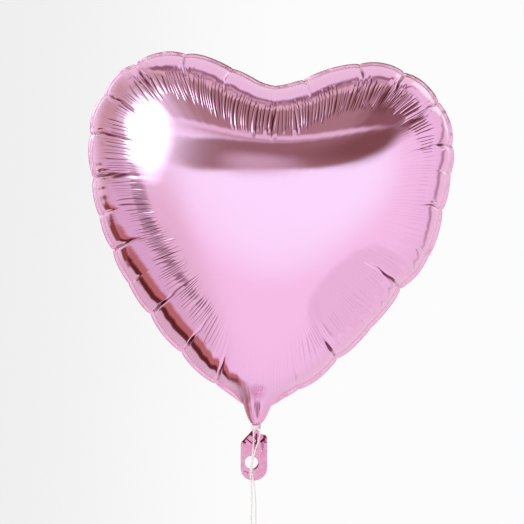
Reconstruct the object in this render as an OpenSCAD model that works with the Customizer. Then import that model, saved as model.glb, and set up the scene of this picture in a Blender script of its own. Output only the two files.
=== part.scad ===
// Heart-shaped foil balloon on its string.
// Two sheets of film are heat-sealed round the rim and puff out between the rim's creases.
// A flat two-film valve runs from the tail, through the tied neck, up into the balloon.
// Frame: +Z up, the front panel faces -Y, and the origin is the middle of the tied neck.

/* [Heart outline] */
// Radius of the seam round each lobe
lobe_r = 86.5; // [76:0.5:96]
// Distance of each lobe's centre from the middle plane
lobe_x = 96; // [88:1:104]
// Height of the lobes' centres above the tie
lobe_z = 284.5; // [265:0.5:305]
// Radius of the long side arcs, from the lobes down to the neck
side_r = 342; // [310:2:400]
// Radius of the arcs from the lobes in to the cleft
brow_r = 260; // [200:2:320]
// Height above the tie at which those arcs would meet
cleft_z = 335.5; // [325:0.5:345]
// Radius that rounds the cleft between them
cleft_r = 45; // [20:1:60]
// Width of the flat heat-sealed rim
seam_w = 4; // [2:0.5:7]

/* [Inflated form] */
// How far each panel's crown stands off the seam plane
crown_h = 92; // [70:1:110]
// Height of the crown above the tie
crown_z = 210.5; // [190:0.5:225]
// Thickness of the film, thicker than the real film so that it is a solid
film_t = 0.3; // [0.2:0.05:0.6]

/* [Rim creases] */
// Creases of the right rim, in degrees from the cleft, seen from the crown
creases_right = [11, 27.5, 40, 53, 66, 74, 85, 101, 115.5, 134, 150.5, 166.5];
// Creases of the left rim, in degrees from the cleft, seen from the crown
creases_left = [14, 29.5, 44, 56, 68.5, 81, 93, 105.5, 119, 133, 150.5, 165.5];
// How far each crease pulls the rim in
crease_pull = 3.5; // [0:0.5:6]
// How far each crease reaches in from the rim
crease_reach = 48; // [30:1:70]
// How much lower the film stays towards a crease than between two, as a share of its height there
crease_swell = 0.16; // [0:0.01:0.3]
// Depth of the fold in the crease itself
crease_depth = 4.5; // [0:0.5:6]

/* [Neck and tie] */
// Width of the neck where the heart's sides run into it
neck_w = 27.6; // [20:0.2:34]
// Height of that place above the tie
neck_z = 21.5; // [15:0.5:28]
// Radius of the gathered film inside the tie
throat_r = 3.4; // [2.8:0.1:4.5]
// Diameter of the string
string_d = 1.6; // [1:0.1:2.2]
// Turns of string round the neck
tie_turns = 3; // [2:1:4]
// Spacing of the turns, a little under the string's diameter because it beds in
tie_pitch = 1.4; // [0.9:0.1:2]
// Clearance between the gathered film and the string wound on it
tie_gap = 0.1; // [0.05:0.05:0.3]
// Radius of the knot at the tie
knot_r = 2.1; // [1.6:0.1:3]
// Radius of the knot that joins the two strands
end_knot_r = 3; // [2.4:0.1:4]

/* [Valve] */
// Width of the valve inside the balloon
valve_w = 25; // [18:0.5:30]
// Height above the tie at which the valve ends
valve_top = 95; // [60:1:140]
// Width of the valve where it passes the tie
valve_throat_w = 4.4; // [3:0.1:4.8]

/* [Tail] */
// Width of the tail
tail_w = 26.5; // [22:0.5:34]
// Distance from the tie down to the tail's lower edge
tail_l = 53.5; // [46:0.5:70]
// Distance of the tail's middle from the tie's middle
tail_shift = -2; // [-4:0.5:4]
// Radius of the tail's lower corners
tail_corner_r = 12.5; // [6:0.5:13]
// Distance from the tie down to the tail's square shoulder
shoulder_drop = 7.5; // [7:0.5:12]
// Radius of that shoulder
shoulder_r = 3.5; // [2:0.5:5]
// Distance from the tie down to the end of the gathered shoulder
gather_drop = 16; // [13:0.5:22]
// Radius of the hole through the tail
hole_r = 6.5; // [4:0.25:7.5]
// Distance of the hole from the tail's middle
hole_shift = -2.5; // [-4:0.5:4]
// Distance from the tie down to the hole
hole_drop = 35.5; // [30:0.5:38]
// Lean of the tail, in degrees to the right of straight down
tail_lean = 3; // [-6:0.5:6]
// Clearance between the tie and the tail that folds below it
fold_gap = 0.7; // [0.6:0.1:1]

/* [Hidden] */

foil = "hotpink";
foil_back = "palevioletred";
clear_film = "lavender";
string_white = "white";

// Columns of each puff, and rings from the rim to the crown
per_puff = 4;
rings = 10;
neck_steps = 7;
throat_steps = 8;
// Columns leave the rim squarely over this length, up to the second bearing; below it they run
// straight to the crown
square_in = 60;
square_to = [140, 165];

tie_half = (tie_turns - 1) / 2 * tie_pitch + string_d / 2;
tie_inner_r = throat_r + tie_gap;
tie_outer_r = tie_inner_r + string_d;
neck_start_z = tie_half + film_t;

// --- Outline of the seam -------------------------------------------------------------------

lobe = [lobe_x, lobe_z];
shoulder = [neck_w / 2, neck_z];
cleft = [0, cleft_z];
crown = [0, crown_z];

// Centre of the circle of radius r that runs through point p and touches the lobe from outside.
// Of the two such centres, side picks the one to the left (1) or right (-1) of lobe to p.
function arc_centre(p, r, side) =
    let (span = norm(p - lobe),
         along = (pow(r - lobe_r, 2) - r * r + span * span) / (2 * span),
         off = sqrt(max(0, pow(r - lobe_r, 2) - along * along)),
         dir = (p - lobe) / span)
    lobe + along * dir + side * off * [-dir.y, dir.x];

side_centre = arc_centre(shoulder, side_r, -1);
brow_centre = arc_centre(cleft, brow_r, 1);
cleft_centre = [0, brow_centre.y + sqrt(pow(brow_r + cleft_r, 2) - pow(brow_centre.x, 2))];

// Clockwise angle from straight up, seen from the crown
function bearing(p) = atan2(p.x - crown.x, p.y - crown.y);
function reach(angle, centre, r, near = false) =
    let (dir = [sin(angle), cos(angle)],
         to = centre - crown,
         along = to * dir,
         half = sqrt(max(0, r * r - to * to + along * along)))
    near ? along - half : along + half;

side_meets = bearing(lobe + lobe_r * (lobe - side_centre) / norm(lobe - side_centre));
brow_meets = bearing(lobe + lobe_r * (lobe - brow_centre) / norm(lobe - brow_centre));
cleft_meets = bearing(brow_centre + brow_r * (cleft_centre - brow_centre) / (brow_r + cleft_r));
neck_bearing = bearing(shoulder);

function rim_radius(angle) =
    angle < cleft_meets ? reach(angle, cleft_centre, cleft_r, true)
    : angle < brow_meets ? reach(angle, brow_centre, brow_r)
    : angle < side_meets ? reach(angle, lobe, lobe_r)
    : reach(angle, side_centre, side_r);

// --- Columns of the panel: [outline point, seam width there, swell 0 to 1, lift] -----------------
// Lift is how far round the throat a column stands: 0 at its sides and 1 at its front.

function swell_at(share) = pow(sin(180 * share), 0.6);

function side_columns(stations, sign) =
    let (stops = concat([0], stations, [neck_bearing]))
    [for (k = [0 : len(stops) - 2], i = [0 : per_puff - 1])
        let (share = i / per_puff,
             angle = stops[k] + (stops[k + 1] - stops[k]) * share,
             swell = swell_at(share),
             radius = rim_radius(angle) - crease_pull * (1 - swell))
        [crown + radius * [sign * sin(angle), cos(angle)], seam_w, swell, 0]];

function neck_columns(sign) =
    [for (i = [0 : neck_steps])
        let (share = 1 - i / neck_steps,
             half = throat_r + (neck_w / 2 - throat_r) * share,
             z = neck_start_z + (neck_z - neck_start_z) * pow(share, 5 / 3))
        [[sign * half, z], film_t + (seam_w - film_t) * share, 1 - pow(share, 3), 0]];

throat_columns =
    [for (i = [1 : throat_steps - 1])
        let (turn = 180 * i / throat_steps)
        [[(throat_r - film_t) * cos(turn), neck_start_z], film_t, 1, sin(turn)]];

function reversed(list) = [for (i = [len(list) - 1 : -1 : 0]) list[i]];
function without_first(list) = [for (i = [1 : len(list) - 1]) list[i]];

right_columns = concat(side_columns(creases_right, 1), neck_columns(1));
columns = concat(right_columns, throat_columns, reversed(neck_columns(-1)),
                 reversed(without_first(side_columns(creases_left, -1))));
count = len(columns);

// Inward normal of the outline at a column
function inward(i) =
    let (before = columns[(i + count - 1) % count][0],
         after = columns[(i + 1) % count][0],
         dir = (after - before) / norm(after - before))
    [dir.y, -dir.x];

// --- Dome of the panel -----------------------------------------------------------------------

// Height of the dome as a share of the crown's, on the way in along a column: flat at the crown,
// upright at the rim, flattest over the lobes and fullest at the cleft
function dome(share, angle) =
    let (at_lobe = exp(-pow((abs(angle) - 48) / 33, 2)),
         at_cleft = exp(-pow(angle / 8, 2)),
         at_neck = exp(-pow((180 - abs(angle)) / 6, 2)),
         power = 0.51 + 0.035 * at_lobe - 0.05 * at_cleft + 0.08 * at_neck)
    pow(max(0, 1 - pow(share, 2.72 - 0.76 * at_lobe + 0.4 * at_cleft)), power);

// Half the neck's width at a height above the tie, inside its seam
function neck_share(z) = pow(max(0, min(1, (z - neck_start_z) / (neck_z - neck_start_z))), 0.6);
function neck_half(z) = throat_r + (neck_w / 2 - throat_r) * neck_share(z) - film_t;

// The neck is a round bulb that runs out into the dome above it
function neck_bulge(p, inset) =
    let (half = neck_half(p.y),
         fade = max(0, min(1, (2.6 * neck_z - p.y) / (1.6 * neck_z))))
    half * sqrt(max(0, 1 - pow(p.x / (half - inset), 2))) * fade;
function neck_taper(z) = pow(sin(90 * max(0, min(1, (z + tie_half) / (2.6 * neck_z)))), 2);

function height(p, share, column, inset) =
    let (from_rim = (1 - share) * norm(column[0] - crown),
         low = crease_swell * (1 - column[2]) * exp(-pow(from_rim / crease_reach, 1.5)),
         fold = column[2] > 0 ? 0
              : crease_depth * max(0, 1 - from_rim / crease_reach) * min(1, from_rim / 8),
         at_neck = abs(bearing(p)) > neck_bearing,
         out = at_neck ? norm(p - crown) / (rim_radius(abs(bearing(p))) - seam_w - inset) : share,
         angle = at_neck ? bearing(p) : bearing(column[0]),
         body = crown_h * dome(min(1, out), angle) * (1 - low) - (abs(angle) > 1 ? fold : 0))
    norm([body * neck_taper(p.y), neck_bulge(p, inset)]);

ring_shares = [for (j = [0 : rings - 1]) sin(90 * (rings - j) / rings)];

// Base ring of the dome, inset from the outline
function base(i, inset) = columns[i][0] + (columns[i][1] + inset) * inward(i);

// Inward normal of the smooth outline, without its creases
function rim_point(angle) = crown + rim_radius(abs(angle)) * [sin(angle), cos(angle)];
function square_way(angle) =
    let (span = rim_point(angle + 2) - rim_point(angle - 2))
    [span.y, -span.x] / norm(span);

// How squarely a column leaves the rim: 1 at the lobes, 0 at the neck
function squareness(angle) =
    let (t = max(0, min(1, (square_to[1] - abs(angle)) / (square_to[1] - square_to[0]))))
    t * t * (3 - 2 * t);

// The point that a column heads for as it leaves the rim
function heading(i, foot) =
    let (angle = bearing(columns[i][0]), square = squareness(angle))
    foot + square * square_in * square_way(angle) + (1 - square) * (crown - foot) / 2;

// A point on the way from the crown to the base ring, where the crease's pull dies away inwards
function ring_point(i, foot, share) =
    let (t = 1 - share,
         pull = crease_pull * (1 - columns[i][2]) * share * (1 - pow(share, 6)),
         out = (foot - crown) / norm(foot - crown))
    share * share * foot + 2 * t * share * heading(i, foot) + t * t * crown + pull * out;

// How much narrower the throat is inside its wall
function bore_share(column) = column[3] > 0 ? (throat_r - 2 * film_t) / (throat_r - film_t) : 1;

function outer_ring(j) =
    [for (i = [0 : count - 1])
        let (p = ring_point(i, base(i, 0), ring_shares[j]))
        [p.x, -film_t - height(p, ring_shares[j], columns[i], 0), p.y]];

function inner_ring(j) =
    [for (i = [0 : count - 1])
        let (foot = base(i, film_t),
             p = ring_point(i, [foot.x * bore_share(columns[i]), foot.y], ring_shares[j]))
        [p.x, -height(p, ring_shares[j], columns[i], film_t), p.y]];

edge_ring =
    [for (column = columns)
        [column[0].x, -film_t - (throat_r - film_t) * column[3], column[0].y]];
seam_ring =
    [for (column = columns)
        [column[0].x * bore_share(column), -(throat_r - film_t) * column[3], column[0].y]];

// The throat is a straight sleeve inside the tie, from the neck's last column on the right to
// its first on the left
throat_first = len(right_columns) - 1;
function sleeve(ring) =
    [for (i = [throat_first : throat_first + throat_steps]) [ring[i].x, ring[i].y, -tie_half]];

panel_points = concat(
    edge_ring, [for (j = [0 : rings - 1]) each outer_ring(j)],
    seam_ring, [for (j = [0 : rings - 1]) each inner_ring(j)],
    [[crown.x, -film_t - crown_h, crown.y], [crown.x, -crown_h, crown.y]],
    sleeve(edge_ring), sleeve(seam_ring));

// Two triangles for each quad between line a and line b of steps quads, whose points start at
// those numbers. The inner wall is split along the same diagonals as the outer one, and turned.
function strip(a, b, steps, turned = false) =
    [for (i = [0 : steps - 1])
        each turned ? [[a + i, b + i, b + i + 1], [a + i, b + i + 1, a + i + 1]]
                    : [[b + i + 1, b + i, a + i], [a + i + 1, b + i + 1, a + i]]];

// The same between two whole rings
function band(a, b, turned = false) =
    let (last = count - 1)
    concat(strip(a, b, last, turned),
           turned ? [[a + last, b + last, b], [a + last, b, a]]
                  : [[b, b + last, a + last], [a, b, a + last]]);

seam_start = count * (rings + 1);
crown_outer = 2 * seam_start;
sleeve_outer = crown_outer + 2;
sleeve_inner = sleeve_outer + throat_steps + 1;
sleeve_end = sleeve_inner + throat_steps;
throat_last = throat_first + throat_steps;

// Round the rim, from the throat's left side over the cleft to its right side
rim_faces = concat(
    strip(seam_start, 0, throat_first),
    strip(seam_start + throat_last, throat_last, count - 1 - throat_last),
    [[0, count - 1, seam_start + count - 1], [seam_start, 0, seam_start + count - 1]]);

sleeve_faces = concat(
    strip(sleeve_outer, throat_first, throat_steps),
    strip(sleeve_inner, sleeve_outer, throat_steps),
    strip(sleeve_inner, seam_start + throat_first, throat_steps, true),
    [[sleeve_inner, sleeve_outer, throat_first], [seam_start + throat_first, sleeve_inner, throat_first]],
    [[throat_last, sleeve_inner - 1, sleeve_end], [throat_last, sleeve_end, seam_start + throat_last]]);

panel_faces = concat(
    [for (j = [0 : rings - 1]) each band(j * count, (j + 1) * count)],
    [for (i = [0 : count - 1]) [rings * count + (i + 1) % count, crown_outer, rings * count + i]],
    [for (j = [0 : rings - 1]) each band(seam_start + j * count, seam_start + (j + 1) * count, true)],
    [for (i = [0 : count - 1])
        [seam_start + rings * count + i, crown_outer + 1, seam_start + rings * count + (i + 1) % count]],
    rim_faces, sleeve_faces);

module panel() polyhedron(panel_points, panel_faces, convexity = 6);

module front_panel() color(foil) panel();
module rear_panel() color(foil_back) mirror([0, 1, 0]) panel();

// --- Films -----------------------------------------------------------------------------------

// A flat film in the XZ plane whose rear face lies at y
module film(y) translate([0, y, 0]) rotate([90, 0, 0]) linear_extrude(film_t) children();

module valve_outline() polygon([
    [-valve_throat_w / 2, -tie_half], [valve_throat_w / 2, -tie_half],
    [valve_throat_w / 2, neck_start_z], [neck_w / 4, neck_z],
    [valve_w / 2, 1.6 * neck_z], [valve_w / 2, valve_top],
    [-valve_w / 2, valve_top], [-valve_w / 2, 1.6 * neck_z],
    [-neck_w / 4, neck_z], [-valve_throat_w / 2, neck_start_z]]);

module valve_front_film() color(clear_film) film(0) valve_outline();
module valve_rear_film() color(clear_film) film(film_t) valve_outline();

// --- Tail ------------------------------------------------------------------------------------

tail_top = -tie_half - fold_gap;
tail_left = tail_shift - tail_w / 2;
tail_right = tail_shift + tail_w / 2;

// Points along an arc, from one angle to another
function arc(centre, r, from, to, steps = 12) =
    [for (i = [0 : steps])
        let (turn = from + (to - from) * i / steps)
        centre + r * [cos(turn), sin(turn)]];

// The tail in the plane of the film: square right shoulder, gathered left one, round lower corners
module tail_outline(margin) {
    corner = tail_corner_r - margin;
    top_corner = max(0.5, shoulder_r - margin);
    left = tail_left + margin;
    right = tail_right - margin;
    bottom = -tail_l + margin;
    shoulder_top = -shoulder_drop - margin;
    polygon(concat(
        arc([left + corner, bottom + corner], corner, 180, 270),
        arc([right - corner, bottom + corner], corner, 270, 360),
        arc([right - top_corner, shoulder_top - top_corner], top_corner, 0, 90, 6),
        [[throat_r + film_t, shoulder_top], [throat_r, tail_top],
         [-throat_r, tail_top], [left, -gather_drop - margin / 2]]));
}

module tail_sheet(y, margin) rotate([0, -tail_lean, 0]) film(y) difference() {
    tail_outline(margin);
    translate([tail_shift + hole_shift, -hole_drop]) circle(hole_r, $fn = 64);
}

// How far the valve stays inside the tail's edge
valve_margin = 2.5;

module tail_front_film() color(foil) tail_sheet(-film_t, 0);
module tail_valve_front_film() color(clear_film) tail_sheet(0, valve_margin);
module tail_valve_rear_film() color(clear_film) tail_sheet(film_t, valve_margin);
module tail_rear_film() color(foil_back) tail_sheet(2 * film_t, 0);

// --- String ----------------------------------------------------------------------------------

module neck_tie() color(string_white)
    for (turn = [0 : tie_turns - 1])
        translate([0, 0, (turn - (tie_turns - 1) / 2) * tie_pitch])
            rotate_extrude($fn = 48)
                translate([tie_inner_r + string_d / 2, 0])
                    circle(string_d / 2, $fn = 16);

// The knot sits against the front of the tie
knot_centre = [0.5, -tie_outer_r - 0.7 * knot_r, -0.5];

module tie_knot() color(string_white) difference() {
    translate(knot_centre) sphere(knot_r, $fn = 24);
    translate([0, 0, -2 * knot_r]) cylinder(h = 4 * knot_r, r = tie_outer_r, $fn = 48);
}

// Routes of the two strands, from the knot to the end knot
left_route = [
    [0, -6.5, -1], [-1, -6.5, -2.5], [-1.9, -5.5, -5], [-2, -4.5, -9], [-1.7, -3.5, -14], [-1.6, -2.6, -20],
    [-1.7, -2.1, -27], [-2.3, -1.9, -33], [-3.2, -1.8, -39], [-3.2, -1.8, -45], [-2.2, -1.8, -52],
    [-1.2, -1.6, -60], [-0.5, -1.2, -70], [0, -0.8, -80], [0.2, -0.4, -90], [1, -0.2, -98], [2.2, 0, -106]];
right_route = [
    [1.5, -6.8, -1], [3, -7, -2.2], [4, -6.6, -5], [4.1, -6, -9], [3.2, -5.2, -14], [1.7, -4.6, -19],
    [0.2, -4.1, -25], [-0.7, -3.8, -30], [-1.6, -3.6, -35], [-2, -3.5, -40], [-1.6, -3.4, -45],
    [-0.1, -3, -52], [1.8, -2.2, -60], [3.1, -1.4, -70], [4, -0.8, -80], [4.6, -0.4, -90], [4.9, -0.2, -98],
    [4, 0, -106]];
end_knot_centre = [3.1, 0, -108];

// Points on a smooth curve through a route, steps to each of its stretches
function bend(a, b, c, d, t) =
    0.5 * (2 * b + (c - a) * t + (2 * a - 5 * b + 4 * c - d) * t * t + (3 * b - a - 3 * c + d) * t * t * t);
function smooth_route(route, steps) =
    let (last = len(route) - 1)
    [for (k = [0 : last - 1], i = [0 : steps - 1])
        bend(route[max(0, k - 1)], route[k], route[k + 1], route[min(last, k + 2)], i / steps),
     route[last]];

// A round cord swept along a path, with its rings square to it
function unit(v) = v / norm(v);
function cord_ring(path, i, sides) =
    let (last = len(path) - 1,
         dir = unit(path[min(last, i + 1)] - path[max(0, i - 1)]),
         across = unit(cross(dir, [0, 1, 0])),
         out = cross(across, dir))
    [for (k = [0 : sides - 1])
        path[i] + string_d / 2 * (cos(360 * k / sides) * across + sin(360 * k / sides) * out)];

module cord(route, steps = 2, sides = 8) {
    path = smooth_route(route, steps);
    last = len(path) - 1;
    points = [for (i = [0 : last]) each cord_ring(path, i, sides)];
    walls = [for (i = [0 : last - 1], k = [0 : sides - 1])
        let (a = i * sides + k, b = i * sides + (k + 1) % sides)
        each [[a, b, b + sides], [a, b + sides, a + sides]]];
    start = [[for (k = [sides - 1 : -1 : 0]) k]];
    end = [[for (k = [0 : sides - 1]) last * sides + k]];
    polyhedron(points, concat(walls, start, end), convexity = 4);
}

module string_left_strand() color(string_white) cord(left_route);
module string_right_strand() color(string_white) cord(right_route);

// The strands' overhand knot: a round body with one turn bulging round it
module string_end_knot() color(string_white) translate(end_knot_centre) {
    sphere(end_knot_r, $fn = 24);
    rotate([30, 0, 0]) rotate_extrude($fn = 32)
        translate([end_knot_r, 0]) circle(string_d / 2, $fn = 16);
}

front_panel();
rear_panel();
valve_front_film();
valve_rear_film();
tail_front_film();
tail_rear_film();
tail_valve_front_film();
tail_valve_rear_film();
neck_tie();
tie_knot();
string_left_strand();
string_right_strand();
string_end_knot();
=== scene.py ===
"""Looks of the heart-shaped foil balloon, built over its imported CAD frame.

All lengths are in metres, in the frame of part.scad: +Z up, the front panel faces -Y, and the origin
is the middle of the tied neck. The balloon is two sheets of metallised film sealed round the rim.
The seam's outline and the film's filled height are worked out here at full detail; the tail, the
valve and the string follow the CAD's own sizes.
"""

import logging
import math
from dataclasses import dataclass, field
from enum import Enum

import bmesh
import bpy
import numpy as np
from mathutils import Matrix, Vector
from mathutils.bvhtree import BVHTree


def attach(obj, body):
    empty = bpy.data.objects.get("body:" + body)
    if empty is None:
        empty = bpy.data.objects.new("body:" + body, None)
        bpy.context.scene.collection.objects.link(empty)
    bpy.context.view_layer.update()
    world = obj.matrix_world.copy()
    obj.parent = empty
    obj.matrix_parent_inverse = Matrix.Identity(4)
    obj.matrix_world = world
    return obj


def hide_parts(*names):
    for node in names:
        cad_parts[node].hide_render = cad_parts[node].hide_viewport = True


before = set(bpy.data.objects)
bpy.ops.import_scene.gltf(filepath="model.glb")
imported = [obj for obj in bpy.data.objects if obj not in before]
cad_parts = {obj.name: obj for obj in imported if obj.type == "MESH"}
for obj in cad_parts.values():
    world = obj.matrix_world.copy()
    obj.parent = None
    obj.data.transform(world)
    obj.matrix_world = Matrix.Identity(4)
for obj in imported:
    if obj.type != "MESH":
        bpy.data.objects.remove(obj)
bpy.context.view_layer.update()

LOG = logging.getLogger("balloon")
MM = 0.001
Array = np.ndarray


# --- Small tools ------------------------------------------------------------------------------


def srgb(code: str) -> tuple[float, float, float, float]:
    """Turns an sRGB hex colour to linear.

    Args:
        code: Six hex digits, with or without a leading #.

    Returns:
        Linear red, green, blue and an alpha of 1.
    """
    parts = [int(code.lstrip("#")[k:k + 2], 16) / 255 for k in (0, 2, 4)]
    linear = [c / 12.92 if c <= 0.04045 else ((c + 0.055) / 1.055) ** 2.4 for c in parts]
    return (*linear, 1.0)


def smooth(low: float, high: float, value: Array) -> Array:
    """Rises smoothly from 0 at low to 1 at high."""
    t = np.clip((value - low) / (high - low), 0, 1)
    return t * t * (3 - 2 * t)


def wander(along: Array, step: float, seed: int) -> Array:
    """Smooth random values from -1 to 1 along a line.

    Args:
        along: Distances along the line.
        step: Distance over which the value changes.
        seed: Seed of the random values.

    Returns:
        One value for each distance.
    """
    knots = np.random.default_rng(seed).uniform(-1, 1, 4096)
    at = np.asarray(along) / step
    low = np.floor(at).astype(int)
    t = at - low
    t = t * t * (3 - 2 * t)
    return knots[low % 4096] * (1 - t) + knots[(low + 1) % 4096] * t


def add_node(tree: bpy.types.NodeTree, kind: str, links: dict | None = None,
             **settings: object) -> bpy.types.Node:
    """Adds one node.

    Args:
        tree: The node tree that takes it.
        kind: The node's type, such as "ShaderNodeMix".
        links: What feeds each input, by the input's name or number: an output socket or a value.
        settings: The node's own properties.

    Returns:
        The new node.
    """
    node = tree.nodes.new(kind)
    for key, value in settings.items():
        setattr(node, key, value)
    for key, value in (links or {}).items():
        named = [s for s in node.inputs if s.enabled and s.name == key]
        socket = named[0] if named else node.inputs[key]
        if isinstance(value, bpy.types.NodeSocket):
            tree.links.new(value, socket)
        else:
            socket.default_value = value
    return node


def out_of(node: bpy.types.Node) -> bpy.types.NodeSocket:
    """The output that a node has in use."""
    return next(s for s in node.outputs if s.enabled)


def lattice(places: Array, coords: Array | None = None, folds: Array | None = None) -> bmesh.types.BMesh:
    """Makes a mesh from a grid of places; places that coincide are merged, which closes it.

    Args:
        places: Places by column and row.
        coords: The film's own coordinates of those places, in metres.
        folds: Three numbers for each place, kept as the mesh's "folds".

    Returns:
        The bmesh.
    """
    columns, rows = places.shape[:2]
    bm = bmesh.new()
    bmesh.ops.create_grid(bm, x_segments=columns - 1, y_segments=rows - 1, size=1)
    bm.verts.index_update()
    at = np.array([v.co for v in bm.verts])
    column = np.rint((at[:, 0] + 1) / 2 * (columns - 1)).astype(int)
    row = np.rint((at[:, 1] + 1) / 2 * (rows - 1)).astype(int)
    if coords is not None:
        layer = bm.loops.layers.uv.new("film")
        own = coords[column, row]
        for face in bm.faces:
            for loop in face.loops:
                loop[layer].uv = own[loop.vert.index]
    if folds is not None:
        layer = bm.verts.layers.float_vector.new("folds")
        for vert, values in zip(bm.verts, folds[column, row]):
            vert[layer] = values
    for vert, place in zip(bm.verts, places[column, row]):
        vert.co = place
    bmesh.ops.remove_doubles(bm, verts=bm.verts, dist=1e-6)
    bmesh.ops.dissolve_degenerate(bm, edges=bm.edges, dist=1e-7)
    return bm


def tube(route: Array, radius: float, sides: int = 18, plies: int = 3,
         lay: float = 4.6 * MM) -> bmesh.types.BMesh:
    """Makes a twisted string along a route, closed at both ends.

    Args:
        route: Places along its middle, close together.
        radius: The string's greatest radius.
        sides: Faces round it.
        plies: How many yarns it is twisted from.
        lay: Length in which a yarn goes once round.

    Returns:
        The bmesh.
    """
    along = np.gradient(route, axis=0)
    along /= np.linalg.norm(along, axis=1, keepdims=True)
    run = np.concatenate([[0], np.linalg.norm(np.diff(route, axis=0), axis=1).cumsum()])
    side = np.zeros_like(route)
    guess = np.cross(along[0], [0.3, 1.0, 0.2])
    for k, way in enumerate(along):
        guess = guess - way * (guess @ way)
        guess /= np.linalg.norm(guess)
        side[k] = guess
    other = np.cross(along, side)
    angle = np.linspace(0, 2 * np.pi, sides + 1)
    angle[-1] = 0
    turn = angle[:, None] + 2 * np.pi * run[None, :] / lay
    deep = 1 - 0.22 * (1 - np.abs(np.cos(plies / 2 * angle)))[:, None]
    rounded = np.sqrt(np.clip(np.minimum(run, run[-1] - run) / (radius * 0.6), 0, 1))
    reach = radius * deep * rounded
    places = route + reach[..., None] * (np.cos(turn)[..., None] * side + np.sin(turn)[..., None] * other)
    girth = np.linspace(0, 1, sides + 1)[:, None] * 2 * np.pi * radius
    coords = np.stack(np.broadcast_arrays(girth, run), -1)
    return lattice(places, coords)


def flowing(points: Array, step: float = 0.35 * MM) -> Array:
    """A smooth line through points, with even steps (Catmull-Rom)."""
    points = np.asarray(points, float)
    ends = np.concatenate([[2 * points[0] - points[1]], points, [2 * points[-1] - points[-2]]])
    t = np.linspace(0, 1, 24, endpoint=False)[:, None]
    line = []
    for a, b, c, d in zip(ends, ends[1:], ends[2:], ends[3:]):
        line.append(0.5 * (2 * b + (c - a) * t + (2 * a - 5 * b + 4 * c - d) * t ** 2
                           + (3 * b - a - 3 * c + d) * t ** 3))
    line = np.concatenate(line + [points[-1:]])
    run = np.concatenate([[0], np.linalg.norm(np.diff(line, axis=0), axis=1).cumsum()])
    even = np.linspace(0, run[-1], max(3, int(run[-1] / step)))
    return np.stack([np.interp(even, run, line[:, k]) for k in range(3)], axis=1)


def finish_mesh(bm: bmesh.types.BMesh, name: str) -> bpy.types.Object:
    """Turns a bmesh into a smooth-shaded object at the origin.

    Args:
        bm: The finished bmesh, which is freed.
        name: The piece's name.

    Returns:
        The new object.
    """
    bmesh.ops.recalc_face_normals(bm, faces=bm.faces)
    mesh = bpy.data.meshes.new(name)
    bm.to_mesh(mesh)
    bm.free()
    mesh.shade_smooth()
    piece = bpy.data.objects.new(name, mesh)
    bpy.context.scene.collection.objects.link(piece)
    return piece


def dress(piece: bpy.types.Object, material: bpy.types.Material) -> None:
    """Gives a piece its one material."""
    piece.data.materials.clear()
    piece.data.materials.append(material)


# --- The photograph's frame ---------------------------------------------------------------------


@dataclass(frozen=True)
class ImagePoints:
    """Points of the photograph's frame, in its pixels, that set the camera or place what is added."""

    size: tuple[int, int] = (524, 524)
    heart_left_x: float = 88.0
    heart_right_x: float = 453.0
    left_lobe_top: tuple[float, float] = (165.0, 51.0)
    right_lobe_top: tuple[float, float] = (378.0, 61.0)
    cleft: tuple[float, float] = (273.0, 84.0)
    tie: tuple[float, float] = (257.0, 426.5)
    hole: tuple[float, float] = (252.5, 461.5)
    tail_bottom_y: float = 479.6
    notches: dict[str, tuple[float, float]] = field(default_factory=lambda: {
        "left_brow": (235.0, 73.0), "left_top": (189.0, 58.0), "left_shoulder": (137.0, 66.0),
        "left_upper": (103.0, 92.0), "left_side": (92.0, 136.0), "left_lower": (115.0, 249.0),
        "right_brow": (301.0, 82.0), "right_top": (355.0, 68.0), "right_shoulder": (403.0, 72.0),
        "right_upper": (437.0, 103.0), "right_lower": (397.0, 288.0)})


POINTS = ImagePoints()


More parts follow.
